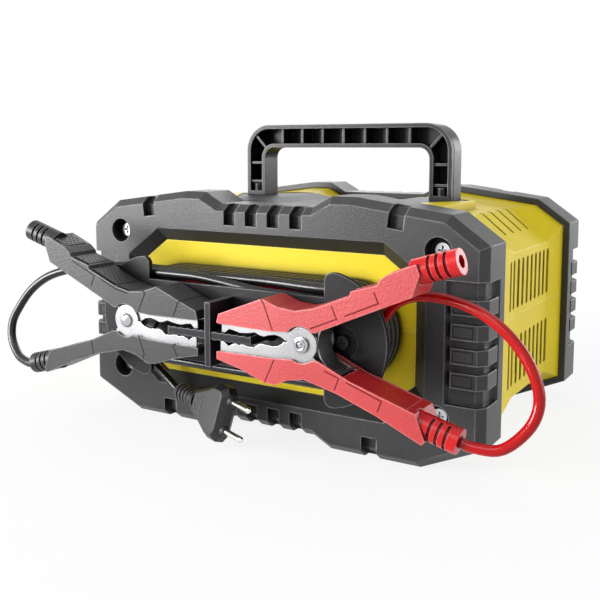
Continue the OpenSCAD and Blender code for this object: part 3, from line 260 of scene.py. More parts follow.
MATERIALS = {
    # the case
    "bumper": plastic("bumper_charcoal", (0.030, 0.0305, 0.032), rough=0.38, grain=1100,
                      grain_depth=0.26, speckle=0.55, mottle=0.09, wear_highlight=0.9,
                      wear_highlight_colour=(0.33, 0.33, 0.34), radius=0.0009, specular=0.38, corner_shade=0.92,
                      reach=0.011),
    "handle": plastic("handle_charcoal", (0.012, 0.012, 0.013), rough=0.36, grain=1500,
                      grain_depth=0.10, wear_highlight_colour=(0.34, 0.34, 0.35), radius=0.0009,
                      specular=0.23),
    "winder": plastic("winder_charcoal", (0.013, 0.0135, 0.015), rough=0.34, grain=1400,
                      grain_depth=0.10, speckle=0.1, wear_highlight=0.9, wear_highlight_colour=(0.26, 0.26, 0.28),
                      radius=0.0008, specular=0.25),
    "yellow": plastic("yellow_abs", (0.78, 0.61, 0.015), rough=0.45, grain=1300,
                      grain_depth=0.06, speckle=0.0, mottle=0.05, wear_highlight=0.5,
                      wear_highlight_colour=(0.95, 0.86, 0.30), radius=0.0008, specular=0.22, dust=0.0,
                      corner_shade=0.9, reach=0.007),
    "black": plastic("black_abs", (0.012, 0.012, 0.014), rough=0.38, grain=1100, speckle=0.1,
                     mottle=0.15, wear_highlight=0.9, wear_highlight_colour=(0.22, 0.22, 0.23), specular=0.4),
    "saddle": plastic("saddle_satin", (0.050, 0.051, 0.054), grain_depth=0.16, wear_highlight=0.9,
                      wear_highlight_colour=(0.40, 0.40, 0.41), specular=0.25),
    "screw": plastic("zinc_screws", (0.52, 0.53, 0.55), rough=0.28, grain=2000,
                     grain_depth=0.03, mottle=0.08, wear_highlight=0.3, wear_highlight_colour=(0.9, 0.9, 0.9),
                     radius=0.0003, scratch=0.3, corner_shade=0.9, reach=0.004, **METAL),
    # the clamps
    "rubber": plastic("black_rubber", (0.015, 0.015, 0.017), rough=0.38, grain=1300,
                      speckle=0.2, mottle=0.12, wear_highlight=0.9, wear_highlight_colour=(0.22, 0.22, 0.23),
                      radius=0.0006, specular=0.38),
    "boot_red": plastic("red_rubber", (0.54, 0.006, 0.008), rough=0.26, grain=1300,
                        grain_depth=0.05, speckle=0.0, mottle=0.06, wear_highlight=0.5,
                        wear_highlight_colour=(0.85, 0.25, 0.24), radius=0.0005, specular=0.3, dust=0.0,
                        corner_shade=0.85, reach=0.005),
    "red": plastic("red_abs", (0.50, 0.006, 0.009), rough=0.42, grain=1000, grain_depth=0.26,
                   speckle=0.45, mottle=0.06, wear_highlight_colour=(0.95, 0.30, 0.28), radius=0.0008,
                   specular=0.85, dust=0.0, corner_shade=0.85),
    "grip": plastic("black_grips", (0.032, 0.0325, 0.034), rough=0.40, grain=1000,
                    grain_depth=0.26, speckle=0.55, wear_highlight=0.9, wear_highlight_colour=(0.34, 0.34, 0.35),
                    radius=0.0008, specular=0.42, corner_shade=0.88),
    "groove": plastic("groove_shadow", (0.006, 0.006, 0.007), **SHADOW),
    "groove_red": plastic("groove_red_shadow", (0.16, 0.003, 0.004), **SHADOW),
    "jaw": plastic("nickel_jaws", (0.45, 0.45, 0.46), rough=0.30, grain=1500,
                   grain_depth=0.012, mottle=0.04, wear_highlight=0.3, wear_highlight_colour=(0.85, 0.85, 0.85),
                   radius=0.0004, scratch=0.1, corner_shade=0.8, reach=0.002, **METAL),
    "rivet": plastic("steel_rivets", (0.58, 0.58, 0.60), rough=0.16, grain=2200,
                     grain_depth=0.02, mottle=0.08, wear_highlight=0.4, wear_highlight_colour=(0.9, 0.9, 0.9),
                     radius=0.0005, scratch=0.2, corner_shade=0.9, reach=0.003, **METAL),
    "spring": plastic("spring_steel", (0.42, 0.42, 0.44), rough=0.34, grain=2200,
                      grain_depth=0.03, mottle=0.05, wear_highlight=0.1, wear_highlight_colour=(0.8, 0.8, 0.8),
                      radius=0.0002, corner_shade=0.3, reach=0.003, **METAL),
    # the cords and the plug's pins
    "red_cord": plastic("red_pvc_cord", (0.44, 0.003, 0.004), rough=0.12, grain_depth=0.04,
                        mottle=0.06, specular=0.26, **CORD),
    "black_cord": plastic("black_pvc_cord", (0.009, 0.009, 0.010), rough=0.24,
                          grain_depth=0.05, mottle=0.12, specular=0.4, **CORD),
    "pin": plastic("nickel_pins", (0.80, 0.79, 0.76), rough=0.2, grain=2200, grain_depth=0.02,
                   mottle=0.06, wear_highlight=0.3, wear_highlight_colour=(0.95, 0.95, 0.92), radius=0.0004, corner_shade=0.7,
                   reach=0.003, **METAL),
    # the control face
    "button": plastic("button_rubber", (0.045, 0.047, 0.052), wear_highlight_colour=(0.2, 0.2, 0.21), **KEY),
    "start": plastic("start_green", (0.03, 0.25, 0.06), rough=0.42, mottle=0.08,
                     wear_highlight_colour=(0.2, 0.5, 0.25), **KEY),
    "rocker": plastic("rocker_red", (0.42, 0.015, 0.02), rough=0.3, grain=1200,
                      grain_depth=0.04, speckle=0.0, mottle=0.06, wear_highlight=0.4,
                      wear_highlight_colour=(0.8, 0.3, 0.3), radius=0.0005, coat=0.2),
    "lcd": plastic("display_parts", (0.03, 0.07, 0.05), rough=0.4, grain=1500,
                   grain_depth=0.02, speckle=0.0, mottle=0.08, wear_highlight=0.2,
                   wear_highlight_colour=(0.2, 0.25, 0.2), radius=0.0003),
    "ink": plastic("white_print", (0.62, 0.63, 0.64), rough=0.6, grain_depth=0.02,
                   speckle=0.1, mottle=0.08, **PRINT),
    "lit": plastic("display_bars", (0.75, 0.86, 0.80), grain_depth=0.01, speckle=0.0,
                   mottle=0.04, **PRINT),
    "glass": glass("display_glass", (0.55, 0.62, 0.64), 0.06),
    "pipe": glass("light_pipe", (0.80, 0.9, 0.75), 0.2),
    # the inside
    "board": plastic("solder_mask", (0.015, 0.15, 0.05), rough=0.35, grain_depth=0.05,
                     speckle=0.1, mottle=0.12, wear_highlight=0.2, wear_highlight_colour=(0.4, 0.35, 0.15),
                     radius=0.0003),
    "core": plastic("core_laminate", (0.16, 0.165, 0.175), rough=0.4, grain_depth=0.1,
                    speckle=0.1, wear_highlight=0.3, wear_highlight_colour=(0.4, 0.4, 0.42), radius=0.0004, metal=0.8,
                    stretch=(1, 8, 1)),
    "copper": plastic("copper_wire", (0.55, 0.22, 0.07), rough=0.35, grain=500,
                      grain_depth=0.4, speckle=0.1, wear_highlight=0.2, wear_highlight_colour=(0.8, 0.5, 0.3),
                      radius=0.0004, metal=0.9, stretch=(0.2, 0.2, 6)),
    "sink": plastic("aluminium", (0.56, 0.57, 0.59), rough=0.35, grain=1500,
                    grain_depth=0.04, speckle=0.0, mottle=0.08, wear_highlight=0.3,
                    wear_highlight_colour=(0.85, 0.85, 0.86), radius=0.0003, metal=1.0,
                    stretch=(1, 1, 0.1)),
    "part": plastic("component_black", (0.03, 0.032, 0.04), rough=0.4, grain=1500,
                    grain_depth=0.05, speckle=0.0, wear_highlight=0.3, wear_highlight_colour=(0.2, 0.2, 0.2),
                    radius=0.0003),
}

# The CAD nodes that each material goes on
LOOKS = {
    "bumper": "cable_side_bumper panel_side_bumper",
    "handle": "carry_handle",
    "winder": "winder_left winder_right winder_core clamp_dock",
    "yellow": "case_upper_shell case_lower_shell",
    "saddle": "saddle_plate",
    "black": "winder_screws control_fascia rocker_frame fan_frame fan_rotor",
    "screw": "handle_screws bumper_screws board_screws",
    "rubber": "cable_glands black_upper_boot black_lower_boot plug_strain_relief plug_body",
    "boot_red": "red_upper_boot red_lower_boot",
    "red": "red_upper_grip red_lower_grip",
    "grip": "black_upper_grip black_lower_grip",
    "jaw": "red_upper_jaw red_lower_jaw black_upper_jaw black_lower_jaw",
    "rivet": "red_pivot_rivet black_pivot_rivet",
    "spring": "red_leaf_spring black_leaf_spring",
    "pin": "plug_pins",
    "red_cord": "red_coil red_lead",
    "black_cord": "black_coil black_lead mains_coil mains_lead",
    "glass": "display_window",
    "pipe": "led_light_pipes",
    "lcd": "display_module",
    "button": "button_mode button_current button_test",
    "start": "button_start",
    "rocker": "power_rocker",
    "board": "control_board main_board",
    "core": "transformer_core",
    "copper": "transformer_coil choke",
    "sink": "heatsinks",
    "part": "power_transistors capacitors",
}


def dress_nodes():
    for look, names in LOOKS.items():
        for name in names.split():
            cad = NODES[name]
            for slot in cad.material_slots:
                slot.material = MATERIALS[look]
            if not cad.material_slots:
                cad.data.materials.append(MATERIALS[look])


dress_nodes()


# ----------------------------------------------------------- shape helpers
def piece(name, bm, look, body, smooth=False, bevel=0.0):
    """Makes the gathered faces one piece that rides on a body; bevel is in millimetres."""
    mesh = bpy.data.meshes.new(name)
    bmesh.ops.recalc_face_normals(bm, faces=bm.faces)
    bm.to_mesh(mesh)
    bm.free()
    for face in mesh.polygons:
        face.use_smooth = smooth
    mesh.materials.append(MATERIALS[look])
    new = bpy.data.objects.new(name, mesh)
    SCENE.collection.objects.link(new)
    if bevel:
        edge = new.modifiers.new("edge", "BEVEL")
        edge.width = bevel / 1000
        edge.segments = 2
        edge.limit_method = "ANGLE"
        edge.angle_limit = math.radians(30)
    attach(new, body)
    return new


def split_sharp(new):
    """Keeps the sharp edges of a smooth piece sharp."""
    edges = new.modifiers.new("split", "EDGE_SPLIT")
    edges.split_angle = math.radians(38)


def skin(bm, rings):
    """A closed body through rings of places that all have the same number of points."""
    rows = [[bm.verts.new(point(*place)) for place in ring] for ring in rings]
    for a, b in zip(rows, rows[1:]):
        for i in range(len(a)):
            j = (i + 1) % len(a)
            bm.faces.new((a[i], a[j], b[j], b[i]))
    bm.faces.new(rows[0][::-1])
    bm.faces.new(rows[-1])


def strip(bm, line, normal, width, proud, sunk=0.25):
    """A band along a line that lies on a face, mitred at the line's corners.

    It stands proud of the face and reaches below it by sunk."""
    out = Vector(normal).normalized()
    line = [Vector(place) for place in line]
    rings = []
    for i, place in enumerate(line):
        before = (place - line[i - 1]).normalized() if i else None
        after = (line[i + 1] - place).normalized() if i < len(line) - 1 else None
        side_before = out.cross(before) if before else None
        side_after = out.cross(after) if after else None
        if before and after:
            side = (side_before + side_after).normalized()
        else:
            side = side_before or side_after
        mitre = 1 / max(0.5, side.dot(side_before or side_after))
        half = side * width / 2 * mitre
        rings.append([place + q for q in (-half - out * sunk, half - out * sunk,
                                          half + out * proud, -half + out * proud)])
    skin(bm, rings)


def stud(bm, at, normal, radius, height, top, sides):
    """A short cone-shaped stud on a face; top is the share of the radius at its end."""
    out = Vector(normal).normalized()
    u = out.orthogonal().normalized()
    v = out.cross(u)
    at = Vector(at)
    ring = [u * math.cos(2 * math.pi * i / sides) + v * math.sin(2 * math.pi * i / sides)
            for i in range(sides)]
    skin(bm, [[at + q * radius - out * 0.1 for q in ring],
              [at + q * radius * top + out * height for q in ring]])


def lathe(bm, profile, x, z, sides=40):
    """Turns a line of (radius, y) about an axis along y; it starts and ends on the axis."""
    rows = []
    for radius, y in profile:
        turns = [2 * math.pi * i / sides for i in range(sides if radius else 1)]
        rows.append([bm.verts.new(point(x + radius * math.cos(a), y, z + radius * math.sin(a)))
                     for a in turns])
    for a, b in zip(rows, rows[1:]):
        for i in range(sides):
            j = (i + 1) % sides
            corners = (a[i % len(a)], a[j % len(a)], b[j % len(b)], b[i % len(b)])
            bm.faces.new(list(dict.fromkeys(corners)))


def prism(bm, outline, y0, y1):
    skin(bm, [[(x, y0, z) for x, z in outline], [(x, y1, z) for x, z in outline]])


# -------------------------------------------------------------- mains plug
PLUG_ALONG = Vector((0.936, -0.347, -0.053)).normalized()     # from the cord to the pins
PLUG_SIDE = PLUG_ALONG.cross(Vector((-0.146, -0.245, -0.958)).cross(PLUG_ALONG)).normalized()
PLUG_UP = PLUG_SIDE.cross(PLUG_ALONG)
PLUG_AT = Vector((-3.9, -31.8, 17.3))     # the middle of the face that the pins leave
PLUG_HALF = [(0, 13.65), (-3, 17.65), (-12, 17.65), (-22, 12.65), (-36, 7)]    # (along, side)
PLUG_MIDDLE = -17       # along the plug, where its rims shrink to
PLUG_THICK = 6.85       # half of the plug's thickness
PIN_SIDE = 9.5          # half of the distance between the pins


def in_plug(along, up, side):
    return PLUG_AT + PLUG_ALONG * along + PLUG_UP * up + PLUG_SIDE * side


def plug_ring(up, scale):
    outline = PLUG_HALF + [(along, -side) for along, side in PLUG_HALF[::-1]]
    return [in_plug(PLUG_MIDDLE + (along - PLUG_MIDDLE) * scale, up, side * scale)
            for along, side in outline]


def add_plug():
    """The plug's body with chamfered rims, grip bars on both faces and a collar on each pin."""
    bm = bmesh.new()
    skin(bm, [plug_ring(up, scale) for up, scale in
              ((-PLUG_THICK, 0.80), (-3.0, 0.992), (3.0, 0.992), (PLUG_THICK, 0.80))])
    for face in (-1, 1):
        up = face * PLUG_THICK
        for along in (-29.5, -27.2, -24.9, -22.6):
            side = 4.6 + (along + 29.5) * 0.35
            strip(bm, [in_plug(along, up, -side), in_plug(along, up, side)], PLUG_UP * face,
                  width=1.0, proud=0.45)
    round_pin = [PLUG_UP * math.cos(math.pi * i / 10) + PLUG_SIDE * math.sin(math.pi * i / 10)
                 for i in range(20)]
    for side in (-PIN_SIDE, PIN_SIDE):
        for start, end, start_radius, end_radius in ((-0.6, 1.3, 3.6, 3.0), (1.3, 2.0, 3.0, 2.1)):
            skin(bm, [[in_plug(start, 0, side) + q * start_radius for q in round_pin],
                      [in_plug(end, 0, side) + q * end_radius for q in round_pin]])
    plug = piece("plug_shell", bm, "rubber", "case", bevel=0.5)
    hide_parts("plug_body")
    return plug


PLUG = add_plug()

# ------------------------------------------------------------------- cords
DRUM_X, DRUM_Z = 65.6, 75.0             # the drums' axes: x, mirrored for the left one, and z
SLOTS = [-30 + (i + 0.5) * 6.15 for i in range(6)]      # y of the turns on a drum
INNER, OUTER = 22.5, 28.5               # the two layers of turns, from the drum's axis
WHOLE = (0, 1)                          # the fractions of a run that a change takes

# Free stretches of the leads, the same as in part.scad
RED_ROUTE = [[142.2, -50, 39.35], [155.3, -50, 35.85], [162, -50, 34.3], [176, -48, 35],
             [188, -45, 46], [192.5, -42, 58], [190, -40, 71], [180, -36, 85],
             [166, -33, 96], [150, -30, 102.5], [132, -27, 105], [117, -24, 103.5],
             [104, -21, 97], [95.5, -20.7, 86], [91.5, -20.7, 76]]
BLACK_ROUTE = [[-142.2, -50, 39.35], [-155.3, -50, 35.85], [-162, -50, 34.3],
               [-177, -47, 37], [-188.5, -43, 47], [-191, -40, 59], [-187, -37, 69.5],
               [-179, -33, 82], [-166, -30, 92], [-148, -28, 98.5], [-128, -25, 102],
               [-106, -18.5, 103.6], [-86, -14.8, 103.5], [-72, -14.6, 103.5]]
MAINS_ROUTE = [[-94.1, -8.5, 75], [-94.3, -8.5, 66], [-94.2, -8.5, 56], [-92.5, -8.5, 47],
               [-88.5, -8.4, 39.5], [-83, -8.3, 34], [-77, -8.3, 29.8],
               [-70.5, -8.8, 25.4], [-65, -9.6, 22], [-60.1, -11, 20.5],
               [-52.8, -13.7, 20.1]]
# From the outlets to the first turn
BLACK_TAIL = [[51.6, -25.1, 84.5], [45, -25.1, 84.5], [30, -25.8, 85.4],
              [12, -26.9, 88.2], [-4, -26.9, 91], [-20, -26.9, 93.4]]
RED_TAIL = [[x, -2.3, z] for x, _, z in BLACK_TAIL]
MAINS_TAIL = [[-51.6, 2.1, 65.5], [-45, 2.1, 65.5], [-30, 2.3, 64.6], [-12, 2.6, 61.8],
              [4, 3, 59], [20, 3.3, 56.6]]


def through(route, steps):
    """A Catmull-Rom line through the places of a route, as part.scad draws it."""
    line = []
    last = len(route) - 1
    for i in range(last):
        a, b, c, d = (Vector(route[k]) for k in (max(i - 1, 0), i, i + 1, min(i + 2, last)))
        for k in range(steps):
            t = k / steps
            line.append(0.5 * ((2 * b) + (c - a) * t + (2 * a - 5 * b + 4 * c - d) * t * t
                               + (3 * b - a - 3 * c + d) * t ** 3))
    line.append(Vector(route[-1]))
    return line


def eased(t):
    t = min(1, max(0, t))
    return t * t * (3 - 2 * t)


def arc(side, radius, y, start, end, step=9):
    """Part of a turn round the right (side 1) or left (side -1) drum, in degrees."""
    n = max(2, int(abs(end - start) / step))
    angles = [math.radians(start + (end - start) * k / n) for k in range(n + 1)]
    return [Vector((side * DRUM_X + radius * math.cos(a), y, DRUM_Z + radius * math.sin(a)))
            for a in angles]


def run(way, slot_a, slot_b, radius_a, radius_b, y_part=WHOLE, z_part=WHOLE, n=20):
    """A run over the top (way 1, leftwards) or under the bottom (way -1, rightwards).

    It changes slot within the fractions y_part of its length, and layer within z_part."""
    y0, y1 = SLOTS[slot_a], SLOTS[slot_b]
    x0, z0, z1 = way * DRUM_X, DRUM_Z + way * radius_a, DRUM_Z + way * radius_b
    return [Vector((x0 - 2 * x0 * k / n,
                    y0 + (y1 - y0) * eased((k / n - y_part[0]) / (y_part[1] - y_part[0])),
                    z0 + (z1 - z0) * eased((k / n - z_part[0]) / (z_part[1] - z_part[0]))))
            for k in range(1, n)]


def top(slot_a, slot_b, radius_a, radius_b, *parts):
    return run(1, slot_a, slot_b, radius_a, radius_b, *parts)


def bottom(slot_a, slot_b, radius_a, radius_b, *parts):
    return run(-1, slot_a, slot_b, radius_a, radius_b, *parts)


def left(slot, radius):
    return arc(-1, radius, SLOTS[slot], 90, 270)


def right(slot, radius):
    return arc(1, radius, SLOTS[slot], -90, 90)


# All three are wound anticlockwise, seen from the cable side
def red_line():
    """Nearly four turns of the inner layer, then the free stretch to the red clamp."""
    line = through(RED_TAIL, 6) + [Vector((-36, SLOTS[4], 95.9)), Vector((-50, SLOTS[4], 97.2))]
    for slot in (4, 3, 2, 1):
        line += left(slot, INNER) + bottom(slot, slot, INNER, INNER)
        if slot > 1:
            line += right(slot, INNER) + top(slot, slot - 1, INNER, INNER, (0.02, 0.45))
    return line + arc(1, INNER, SLOTS[1], -90, -34) + through(RED_ROUTE[::-1], 10)


def black_line():
    """One inner turn and two outer ones, then the free stretch to the black clamp."""
    line = through(BLACK_TAIL, 6)
    line += [Vector((-36, SLOTS[0], 95.9)), Vector((-50, SLOTS[0], 97.2))]
    line += left(0, INNER) + bottom(0, 0, INNER, INNER) + right(0, INNER)
    line += top(0, 0, INNER, OUTER, WHOLE, (0.27, 0.80))
    line += left(0, OUTER) + bottom(0, 0, OUTER, OUTER) + right(0, OUTER)
    line += top(0, 1, OUTER, OUTER, (0.03, 0.41))
    line += left(1, OUTER) + bottom(1, 2, OUTER, OUTER, (0.2, 0.8)) + right(2, OUTER)
    line += top(2, 2, OUTER, OUTER) + [Vector((-DRUM_X, SLOTS[2], DRUM_Z + OUTER))]
    return line + through(BLACK_ROUTE[::-1], 10)


def mains_line():
    """One inner turn and nearly three outer ones, then the free stretch to the plug."""
    line = through(MAINS_TAIL, 6)
    line += [Vector((36, SLOTS[5] - 0.2, 54.1)), Vector((50, SLOTS[5], 52.8))]
    line += right(5, INNER) + top(5, 5, INNER, INNER) + left(5, INNER)
    line += bottom(5, 5, INNER, OUTER, WHOLE, (0.27, 0.80))
    line += right(5, OUTER) + top(5, 5, OUTER, OUTER) + left(5, OUTER)
    line += bottom(5, 4, OUTER, OUTER, (0.03, 0.41))
    line += right(4, OUTER) + top(4, 4, OUTER, OUTER) + left(4, OUTER)
    line += bottom(4, 3, OUTER, OUTER, (0.03, 0.5))
    line += right(3, OUTER) + top(3, 3, OUTER, OUTER)
    return line + arc(-1, OUTER, SLOTS[3], 90, 180) + through(MAINS_ROUTE, 10)


def even(line, step=3.0):
    """The same line with its places an even distance apart, and its length."""
    places = [line[0]]
    for place in line[1:]:
        if (place - places[-1]).length > 0.05:
            places.append(place)
    reached = [0]
    for a, b in zip(places, places[1:]):
        reached.append(reached[-1] + (b - a).length)
    length = reached[-1]
    n = max(2, int(length / step))
    spaced, j = [], 0
    for k in range(n + 1):
        target = length * k / n
        while j < len(reached) - 2 and reached[j + 1] < target:
            j += 1
        t = (target - reached[j]) / (reached[j + 1] - reached[j])
        spaced.append(places[j].lerp(places[j + 1], t))
    return spaced, length


def tube(name, line, diameter, look):
    curve = bpy.data.curves.new(name, "CURVE")
    curve.dimensions = "3D"
    spline = curve.splines.new("POLY")
    spline.points.add(len(line) - 1)
    for knot, place in zip(spline.points, line):
        knot.co = (*point(*place), 1)
    curve.bevel_depth = diameter / 2 / 1000
    curve.bevel_resolution = 5
    curve.use_fill_caps = True
    curve.materials.append(MATERIALS[look])
    new = bpy.data.objects.new(name, curve)
    SCENE.collection.objects.link(new)
    return new


def add_cord(name, line, diameter, look, nodes):
    """A cord of round section that stands for CAD nodes."""
    line, length = even(line)
    cord = tube(name, line, diameter, look)
    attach(cord, "case")
    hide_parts(*nodes)
    tuple(point(*line[0]))
    print("length of", name, round(length / 1000, 3))


add_cord("red_charging_lead", red_line(), 6.0, "red_cord",
         ("red_coil", "red_lead"))
add_cord("black_charging_lead", black_line(), 6.0, "black_cord",
         ("black_coil", "black_lead"))
add_cord("mains_cord", mains_line(), 5.7, "black_cord",
         ("mains_coil", "mains_lead"))

# ------------------------------------------------------------------ clamps
# Planes of the stored clamps, along y: the grips' outer and inner faces, front and back
GRIP_FRONT, WALL_FRONT, WALL_BACK, GRIP_BACK = -58.0, -56.6, -35.9, -34.5
PIVOT_X, PIVOT_Z = 64.6, 76.8           # the rivets; x is mirrored for black

# Moulded grooves on the grips' front faces, drawn as thin strips of painted shadow: lines of
# # (x, z), where x is mirrored for black
GROOVES = {
    ("red", "upper"): [[(38.6, 100.0), (40.4, 97.5), (46.2, 83.0)],
                       [(84.0, 100.6), (87.3, 93.7), (70.6, 86.6)],
                       [(109.3, 110.5), (111.9, 104.6), (92.2, 95.8)]],
    ("red", "lower"): [[(47.4, 66.6), (40.9, 52.6)],
                       [(79.8, 64.3), (88.7, 61.4), (86.2, 54.6)],
                       [(93.4, 59.8), (114.4, 52.7), (112.1, 46.6)]],
    ("black", "upper"): [[(49.3, 97.0), (47.9, 95.2), (53.4, 83.6)],
                         [(20.5, 93.2), (21.9, 91.9), (25.6, 83.2)],
                         [(109.9, 111.6), (90.2, 103.2), (93.2, 96.6)],
                         [(84.8, 101.4), (71.9, 96.2), (62, 94.2)]],
    ("black", "lower"): [[(53.8, 68.6), (49.3, 56.9), (50.6, 54.2)],
                         [(23.7, 66.6), (26.2, 65.7), (22.9, 58.8)],
                         [(94.3, 60.4), (92.9, 51.5)]],
}
# Grooves across the rims, also strips of painted shadow, from front to back: x, mirrored for
# # black, z, and the way out
RIM_GROOVES = {
    ("red", "upper"): [(38.6, 100.24, (-0.364, 0, 0.94))],
    ("red", "lower"): [(40.6, 52.0, (0, 0, -1))],
    ("black", "upper"): [(49.3, 96.75, (-0.334, 0, 0.94)), (20.5, 93.18, (0.364, 0, 0.931))],
    ("black", "lower"): [(50.4, 53.0, (0, 0, -1))],
}
# Lines on the upper grips' top edges, as two places (x, z)
PADS = [((73.6, 98.44), (93.4, 106.36)), ((97.2, 109.97), (110.0, 113.71)),
        ((117.4, 120.37), (131.6, 126.2))]
RIBBED = [((62, 95.72), (72.2, 97.93)), ((73, 98.2), (94.6, 106.84)),
          ((96.2, 109.68), (110.6, 113.88))]
# Webs that close the handles on their inner sides, as outlines of (x, z)
LOWER_WEB = [(90.5, 62.24), (95, 60.3), (128.4, 50.15), (128.4, 48.55), (95, 58.7),
             (90.5, 60.64)]
UPPER_WEB = [(103.5, 97.79), (128.4, 108.65), (128.4, 110.25), (103.5, 99.39)]
# Rivet heads as (radius, y): the black clamp's is domed, the red one's has a rolled rim
RIVET_HEADS = {
    "red": [(0, -58.95), (1.15, -58.95), (1.35, -58.55), (2.05, -58.5), (2.25, -59.3),
            (2.55, -59.5), (3.0, -59.5), (3.25, -59.25), (3.3, -58.45), (4.25, -58.3),
            (4.5, -58.0)],
    "black": [(0, -59.5), (1.3, -59.42), (2.5, -59.1), (3.4, -58.55), (4.05, -57.8),
              (4.5, -57.1)],
}
RIVET_SHANK = [(4.5, WALL_FRONT), (2.5, WALL_FRONT), (2.5, WALL_BACK), (4.5, WALL_BACK),
               (4.5, -35.2), (4.1, -34.8), (0, -34.8)]


def add_grip_grooves(colour, s, part, look, body):
    bm = bmesh.new()
    for line in GROOVES[colour, part]:
        strip(bm, [(s * x, GRIP_FRONT, z) for x, z in line], FRONT, width=0.75, proud=0.06)
    for x, z, normal in RIM_GROOVES[colour, part]:
        strip(bm, [(s * x, GRIP_FRONT, z), (s * x, GRIP_BACK, z)], normal, width=0.8, proud=0.05)
    piece(f"{colour}_{part}_grip_grooves", bm, look, body)


def edge_line(s, start, end):
    """A line on a grip's top edge: its length, its way out, and a function for places on it."""
    (x0, z0), (x1, z1) = start, end
    along = Vector((s * (x1 - x0), 0, z1 - z0))
    length = along.length
    along.normalize()
    out = Vector((-along.z, 0, along.x)) * s

    def place(u, y, height=0.0):
        return Vector((s * x0, 0, z0)) + along * u + Vector((0, y, 0)) + out * height
    return length, out, place


def add_thumb_pads(colour, s, look, dot_shadow_look, body):
    """Three raised pads on the top edge of a clamp, with staggered rows of small dots of painted
    shade that stand for pits.
    """
    front, back, rise, lean = -54.9, -37.2, 0.55, 0.4
    margin, dot_pitch, row_pitch, row_front, row_back = 0.8, 2.6, 3.3, -52.6, -38.3
    pads, dots = bmesh.new(), bmesh.new()
    for start, end in PADS:
        length, out, place = edge_line(s, start, end)
        skin(pads, [[place(u, y, -0.2) for u, y in
                     ((0, front), (length, front), (length, back), (0, back))],
                    [place(u, y, rise) for u, y in
                     ((lean, front + lean), (length - lean, front + lean),
                      (length - lean, back - lean), (lean, back - lean))]])
        dotted = length - 2 * margin
        columns = int(dotted / dot_pitch)
        for i in range(columns):
            for j in range(5):
                y = row_front + row_pitch * j + (row_pitch / 2 if i % 2 else 0)
                if y < row_back:
                    stud(dots, place(margin + dotted * (i + 0.5) / columns, y, rise), out,
                         radius=0.78, height=0.05, top=0.9, sides=10)
    piece(f"{colour}_thumb_pads", pads, look, body, bevel=0.15)
    piece(f"{colour}_thumb_pad_dots", dots, dot_shadow_look, body)


def add_edge_ribs(colour, s, look, body):
    """Short ribs across the front of a clamp's top edge."""
    pitch = 1.25
    bm = bmesh.new()
    for start, end in RIBBED:
        length, out, place = edge_line(s, start, end)
        for i in range(int(length / pitch)):
            u = (i + 0.5) * pitch
            strip(bm, [place(u, GRIP_FRONT + 0.35), place(u, -55.6)], out, width=0.6, proud=0.3)
    piece(f"{colour}_edge_ribs", bm, look, body)


def add_handle_web(name, s, outline, look, body):
    bm = bmesh.new()
    prism(bm, [(s * x, z) for x, z in outline], WALL_FRONT - 0.1, WALL_BACK + 0.1)
    piece(name, bm, look, body)


def add_rivet(colour, s):
    bm = bmesh.new()
    lathe(bm, RIVET_HEADS[colour] + RIVET_SHANK, s * PIVOT_X, PIVOT_Z)
    rivet = piece(f"{colour}_rivet", bm, "rivet", "case", smooth=True)
    split_sharp(rivet)
    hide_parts(f"{colour}_pivot_rivet")


def add_spring_band(colour, s):
    """The leaf spring: a C-shaped steel band that stays fixed to the case."""
    x, z, radius = 87, 77.7, 14             # of the circle that it follows
    stretch = 1.0857                        # the circle's height over its width
    start, turn, steps = 104.9, 150.2, 32   # degrees from +x, and steps along the band
    thick, front, back, rim = 0.5, -53.75, -38.75, 0.15     # thick is half the thickness
    section = [(-thick, front + rim), (-thick + rim, front), (thick - rim, front),
               (thick, front + rim), (thick, back - rim), (thick - rim, back),
               (-thick + rim, back), (-thick, back - rim)]
    rings = []
    for i in range(steps + 1):
        a = math.radians(start + turn * i / steps)
        rings.append([(s * (x + (radius + off) * math.cos(a)), y,
                       z + (radius + off) * stretch * math.sin(a)) for off, y in section])
    bm = bmesh.new()
    skin(bm, rings)
    band = piece(f"{colour}_spring_band", bm, "spring", "case", smooth=True)
    split_sharp(band)
    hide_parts(f"{colour}_leaf_spring")
    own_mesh(band)


def dress_clamp(colour, s, look, shadow_look, rib_look):
    """What one clamp has besides its CAD parts; s is 1 for the right clamp, -1 for the left."""
    upper = f"{colour}_clamp_upper"
    add_grip_grooves(colour, s, "upper", shadow_look, upper)
    add_grip_grooves(colour, s, "lower", shadow_look, "case")
    add_thumb_pads(colour, s, look, shadow_look, upper)
    add_edge_ribs(colour, s, rib_look, upper)
    add_handle_web(f"{colour}_lower_handle_web", s, LOWER_WEB, look, "case")
    add_handle_web(f"{colour}_upper_handle_web", s, UPPER_WEB, look, upper)
    add_rivet(colour, s)
    add_spring_band(colour, s)


# Grooves and pad dots are strips and studs of painted shadow; the black clamp's edge ribs are
# painted shadow too
dress_clamp("red", 1, "red", "groove_red", "red")
dress_clamp("black", -1, "grip", "groove", "groove")


# -------------------------------------------------------------------- case
def add_panel_seam():
    """The seam across the yellow panel behind the winder."""
    bm = bmesh.new()
    strip(bm, [(-105.2, 7.0, 74.7), (105.2, 7.0, 74.7)], FRONT, width=0.5, proud=0.2)
    piece("panel_seam", bm, "yellow", "case")


def add_rib_frames(side, y, normal):
    """Thin dark lines of painted shade round the four ribs on each side of a bumper."""
    x0, x1, half_height, highest, pitch = 130.6, 142.6, 3.1, 95.3, 14.2
    bm = bmesh.new()
    for s in (-1, 1):
        for i in range(4):
            z = highest - i * pitch
            z0, z1 = z - half_height, z + half_height
            strip(bm, [(s * x0, y, z0), (s * x0, y, z1), (s * x1, y, z1), (s * x1, y, z0),
                       (s * x0, y, z0)], normal, width=0.55, proud=0.03)
    piece(f"{side}_rib_frames", bm, "groove", "case")


